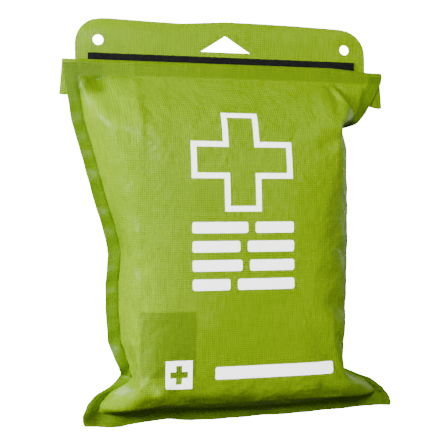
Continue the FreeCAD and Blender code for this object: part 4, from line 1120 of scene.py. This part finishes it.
def addLeaflet(spec):
    # Zigzag across x: straight panels joined by half circles, each layer one step further back. The top leans
    # back with the cloth, easing in over the bend's height.
    low, high = nodeBox("instruction_leaflet")
    low, high = low + np.array(spec["insetLow"]), high - np.array(spec["insetHigh"])
    gap = (high[1] - low[1]) / spec["layers"]
    half = (high[0] - low[0]) / 2 - gap
    xs, ys = [], []
    for layer in range(spec["layers"]):
        sign = 1 if layer % 2 == 0 else -1
        run = np.linspace(-half, half, spec["columns"]) * sign
        y = low[1] + gap * (layer + 0.5)
        turn = np.linspace(-np.pi / 2, np.pi / 2, 9)[1:-1]
        last = layer == spec["layers"] - 1
        xs += [run] if last else [run, sign * (half + gap / 2 * np.cos(turn))]
        ys += [np.full(len(run), y)] if last else [np.full(len(run), y), y + gap / 2 + gap / 2 * np.sin(turn)]
    x, y = np.concatenate(xs), np.concatenate(ys)
    z = np.linspace(high[2], low[2], spec["rows"])
    zz, xx = spread(z, x)
    yy = spread(z, y)[1]
    bend = np.clip((zz - high[2] + spec["topBend"]) / spec["topBend"], 0, 1)
    foot = np.clip((low[2] + spec["footBend"] - zz) / spec["footBend"], 0, 1)
    yy = yy + spec["topBack"] * ease(bend) + spec["footBack"] * foot ** 2
    piece = shell("instructionLeaflet", np.stack([xx, yy, zz], -1), spec["paper"], start=-spec["paper"] / 2)
    paper = paperFinish("leafletPaper", (0.80, 0.80, 0.77), (0.42, 0.44, 0.44), 4.5)
    standIn(piece, ["instruction_leaflet"], (paper, paper), "pouch")


addLeaflet(leafletSpec)
print("soft contents made")


def steelFinish():
    # brushed stainless: fine streaks along the blades, brighter worn patches
    f = Finish("brushedSteel")
    streak = f.noise(1.0, 3.0, place=f.place((2600, 2600, 90)))
    return f.set(Base_Color=f.blendColour(f.noise(90.0), (0.52, 0.53, 0.54), (0.68, 0.69, 0.70)),
                 Metallic=1.0,
                 Roughness=f.plus(f.times(streak, 0.22), 0.16), Normal=f.bump(streak, 0.12, 0.00008))


def tapeRollFinish():
    # zinc tape: winding lines round the roll's axis on its ends, cloth threads on its face
    f = Finish("tapeCloth")
    low, high = nodeBox("tape_roll")
    axis = f.axes(1000)
    y, z = (f.math("SUBTRACT", axis[way], float((low[way] + high[way]) / 2)) for way in (1, 2))
    radius = f.math("SQRT", f.plus(f.times(y, y), f.times(z, z)))
    both = f.times(f.absSine(f.times(radius, math.pi / 0.35)), f.absSine(f.times(axis[0], math.pi / 0.4)))
    return f.set(Base_Color=f.blendColour(both, (0.62, 0.47, 0.36), (0.78, 0.64, 0.52)), Roughness=0.85,
                 Normal=f.bump(both, 0.5, 0.0002))


def spoolFinish():
    # moulded plastic with a fine matt texture
    f = Finish("spoolPlastic")
    return f.set(Base_Color=f.blendColour(f.noise(60.0, 2.0), (0.80, 0.81, 0.80), (0.87, 0.88, 0.87)),
                 Roughness=0.42,
                 Normal=f.bump(f.noise(1600.0, 2.0), 0.15, 0.0001), Subsurface_Weight=0.1)


steel, rollCloth, spoolPlastic = steelFinish(), tapeRollFinish(), spoolFinish()
for names, finish in ((("scissor_half_front", "scissor_half_back", "scissor_rivet", "tweezers"), steel),
                      (("tape_roll",), rollCloth), (("tape_spool",), spoolPlastic)):
    for name in names:
        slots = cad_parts[name].data.materials
        slots.clear()
        slots.append(finish)
print("tools finished")


cameraSpec = {"azimuth": -14.85, "elevation": 0.17, "distance": 460.9, "lens": 75.4, "roll": -0.35,
              "target": (-1.3, 0.0, -87.9)}


def addCamera(spec):
    # back from the target along azimuth and elevation, rolled about the line of sight
    a, e = math.radians(spec["azimuth"]), math.radians(spec["elevation"])
    back = Vector((math.sin(a) * math.cos(e), -math.cos(a) * math.cos(e), math.sin(e)))
    right = Vector((0, 0, 1)).cross(back).normalized()
    up = back.cross(right)
    r = math.radians(spec["roll"])
    across, upward = math.cos(r) * right + math.sin(r) * up, -math.sin(r) * right + math.cos(r) * up
    turned = Matrix((across, upward, back)).transposed()
    data = bpy.data.cameras.new("viewCamera")
    data.lens = spec["lens"]
    data.sensor_width = 36.0
    data.clip_start, data.clip_end = 0.01, 50.0
    camera = bpy.data.objects.new("viewCamera", data)
    place = (Vector(spec["target"]) + back * spec["distance"]) * millimetre
    camera.matrix_world = Matrix.Translation(place) @ turned.to_4x4()
    bpy.context.scene.collection.objects.link(camera)
    bpy.context.scene.camera = camera


addCamera(cameraSpec)

lightSpec = {
    "key": {"at": (-710, -250, 150), "size": 0.26, "power": 11.5},
    "fill": {"at": (-230, -900, 300), "size": 0.26, "power": 8.0},
    "rim": {"at": (-160, 760, 420), "size": 0.6, "power": 9.0},
    "side": {"at": (760, 240, 120), "size": 0.5, "power": 1.8},
    "low": {"at": (-260, -520, -420), "size": 0.5, "power": 0.5},
    "sky": 0.08, "behind": 20.0,
}


def addLights(spec):
    # square soft boxes that face the middle of the pouch
    middle = Vector((0, 0, (topZ + footZ) / 2)) * millimetre
    for name in ("key", "fill", "rim", "side", "low"):
        data = bpy.data.lights.new(name + "Light", "AREA")
        data.energy = spec[name]["power"]
        data.size = spec[name]["size"]
        lamp = bpy.data.objects.new(name + "Light", data)
        lamp.location = Vector(spec[name]["at"]) * millimetre
        lamp.rotation_euler = (lamp.location - middle).to_track_quat("Z", "Y").to_euler()
        bpy.context.scene.collection.objects.link(lamp)
    world = bpy.data.worlds.new("paleRoom")
    world.use_nodes = True
    tree = world.node_tree
    sky = tree.nodes["Background"]
    sky.inputs["Color"].default_value = (1, 1, 1, 1)
    sky.inputs["Strength"].default_value = spec["sky"]
    # what lies behind the pouch is a bright white wall, which gives the pouch itself only soft light
    wall = tree.nodes.new("ShaderNodeBackground")
    wall.inputs["Strength"].default_value = spec["behind"]
    seen, mixed = tree.nodes.new("ShaderNodeLightPath"), tree.nodes.new("ShaderNodeMixShader")
    tree.links.new(seen.outputs["Is Camera Ray"], mixed.inputs[0])
    tree.links.new(sky.outputs[0], mixed.inputs[1])
    tree.links.new(wall.outputs[0], mixed.inputs[2])
    tree.links.new(mixed.outputs[0], tree.nodes["World Output"].inputs["Surface"])
    bpy.context.scene.world = world


addLights(lightSpec)


floorSpec = {"half": 2500, "below": 90, "colour": (0.9, 0.9, 0.9, 1), "roughness": 0.7}


def addFloor(spec):
    # a plain pale floor well below the pouch
    y, x = spread(*[np.linspace(-spec["half"], spec["half"], 3)] * 2)
    grid = np.stack([x, y, np.full_like(x, cadBounds[0].z / millimetre - spec["below"])], -1)
    floor = makePiece("paleFloor", grid.reshape(-1, 3), gridQuads(np.arange(9).reshape(3, 3)))
    pale = Finish("paleFloor").set(Base_Color=spec["colour"], Roughness=spec["roughness"],
                                   Emission_Color=(1, 1, 1, 1), Emission_Strength=lightSpec["behind"])
    floor.data.materials.append(pale)
    floor.visible_diffuse = floor.visible_glossy = False


addFloor(floorSpec)
print("camera, lights and floor placed")

print("scene ready")
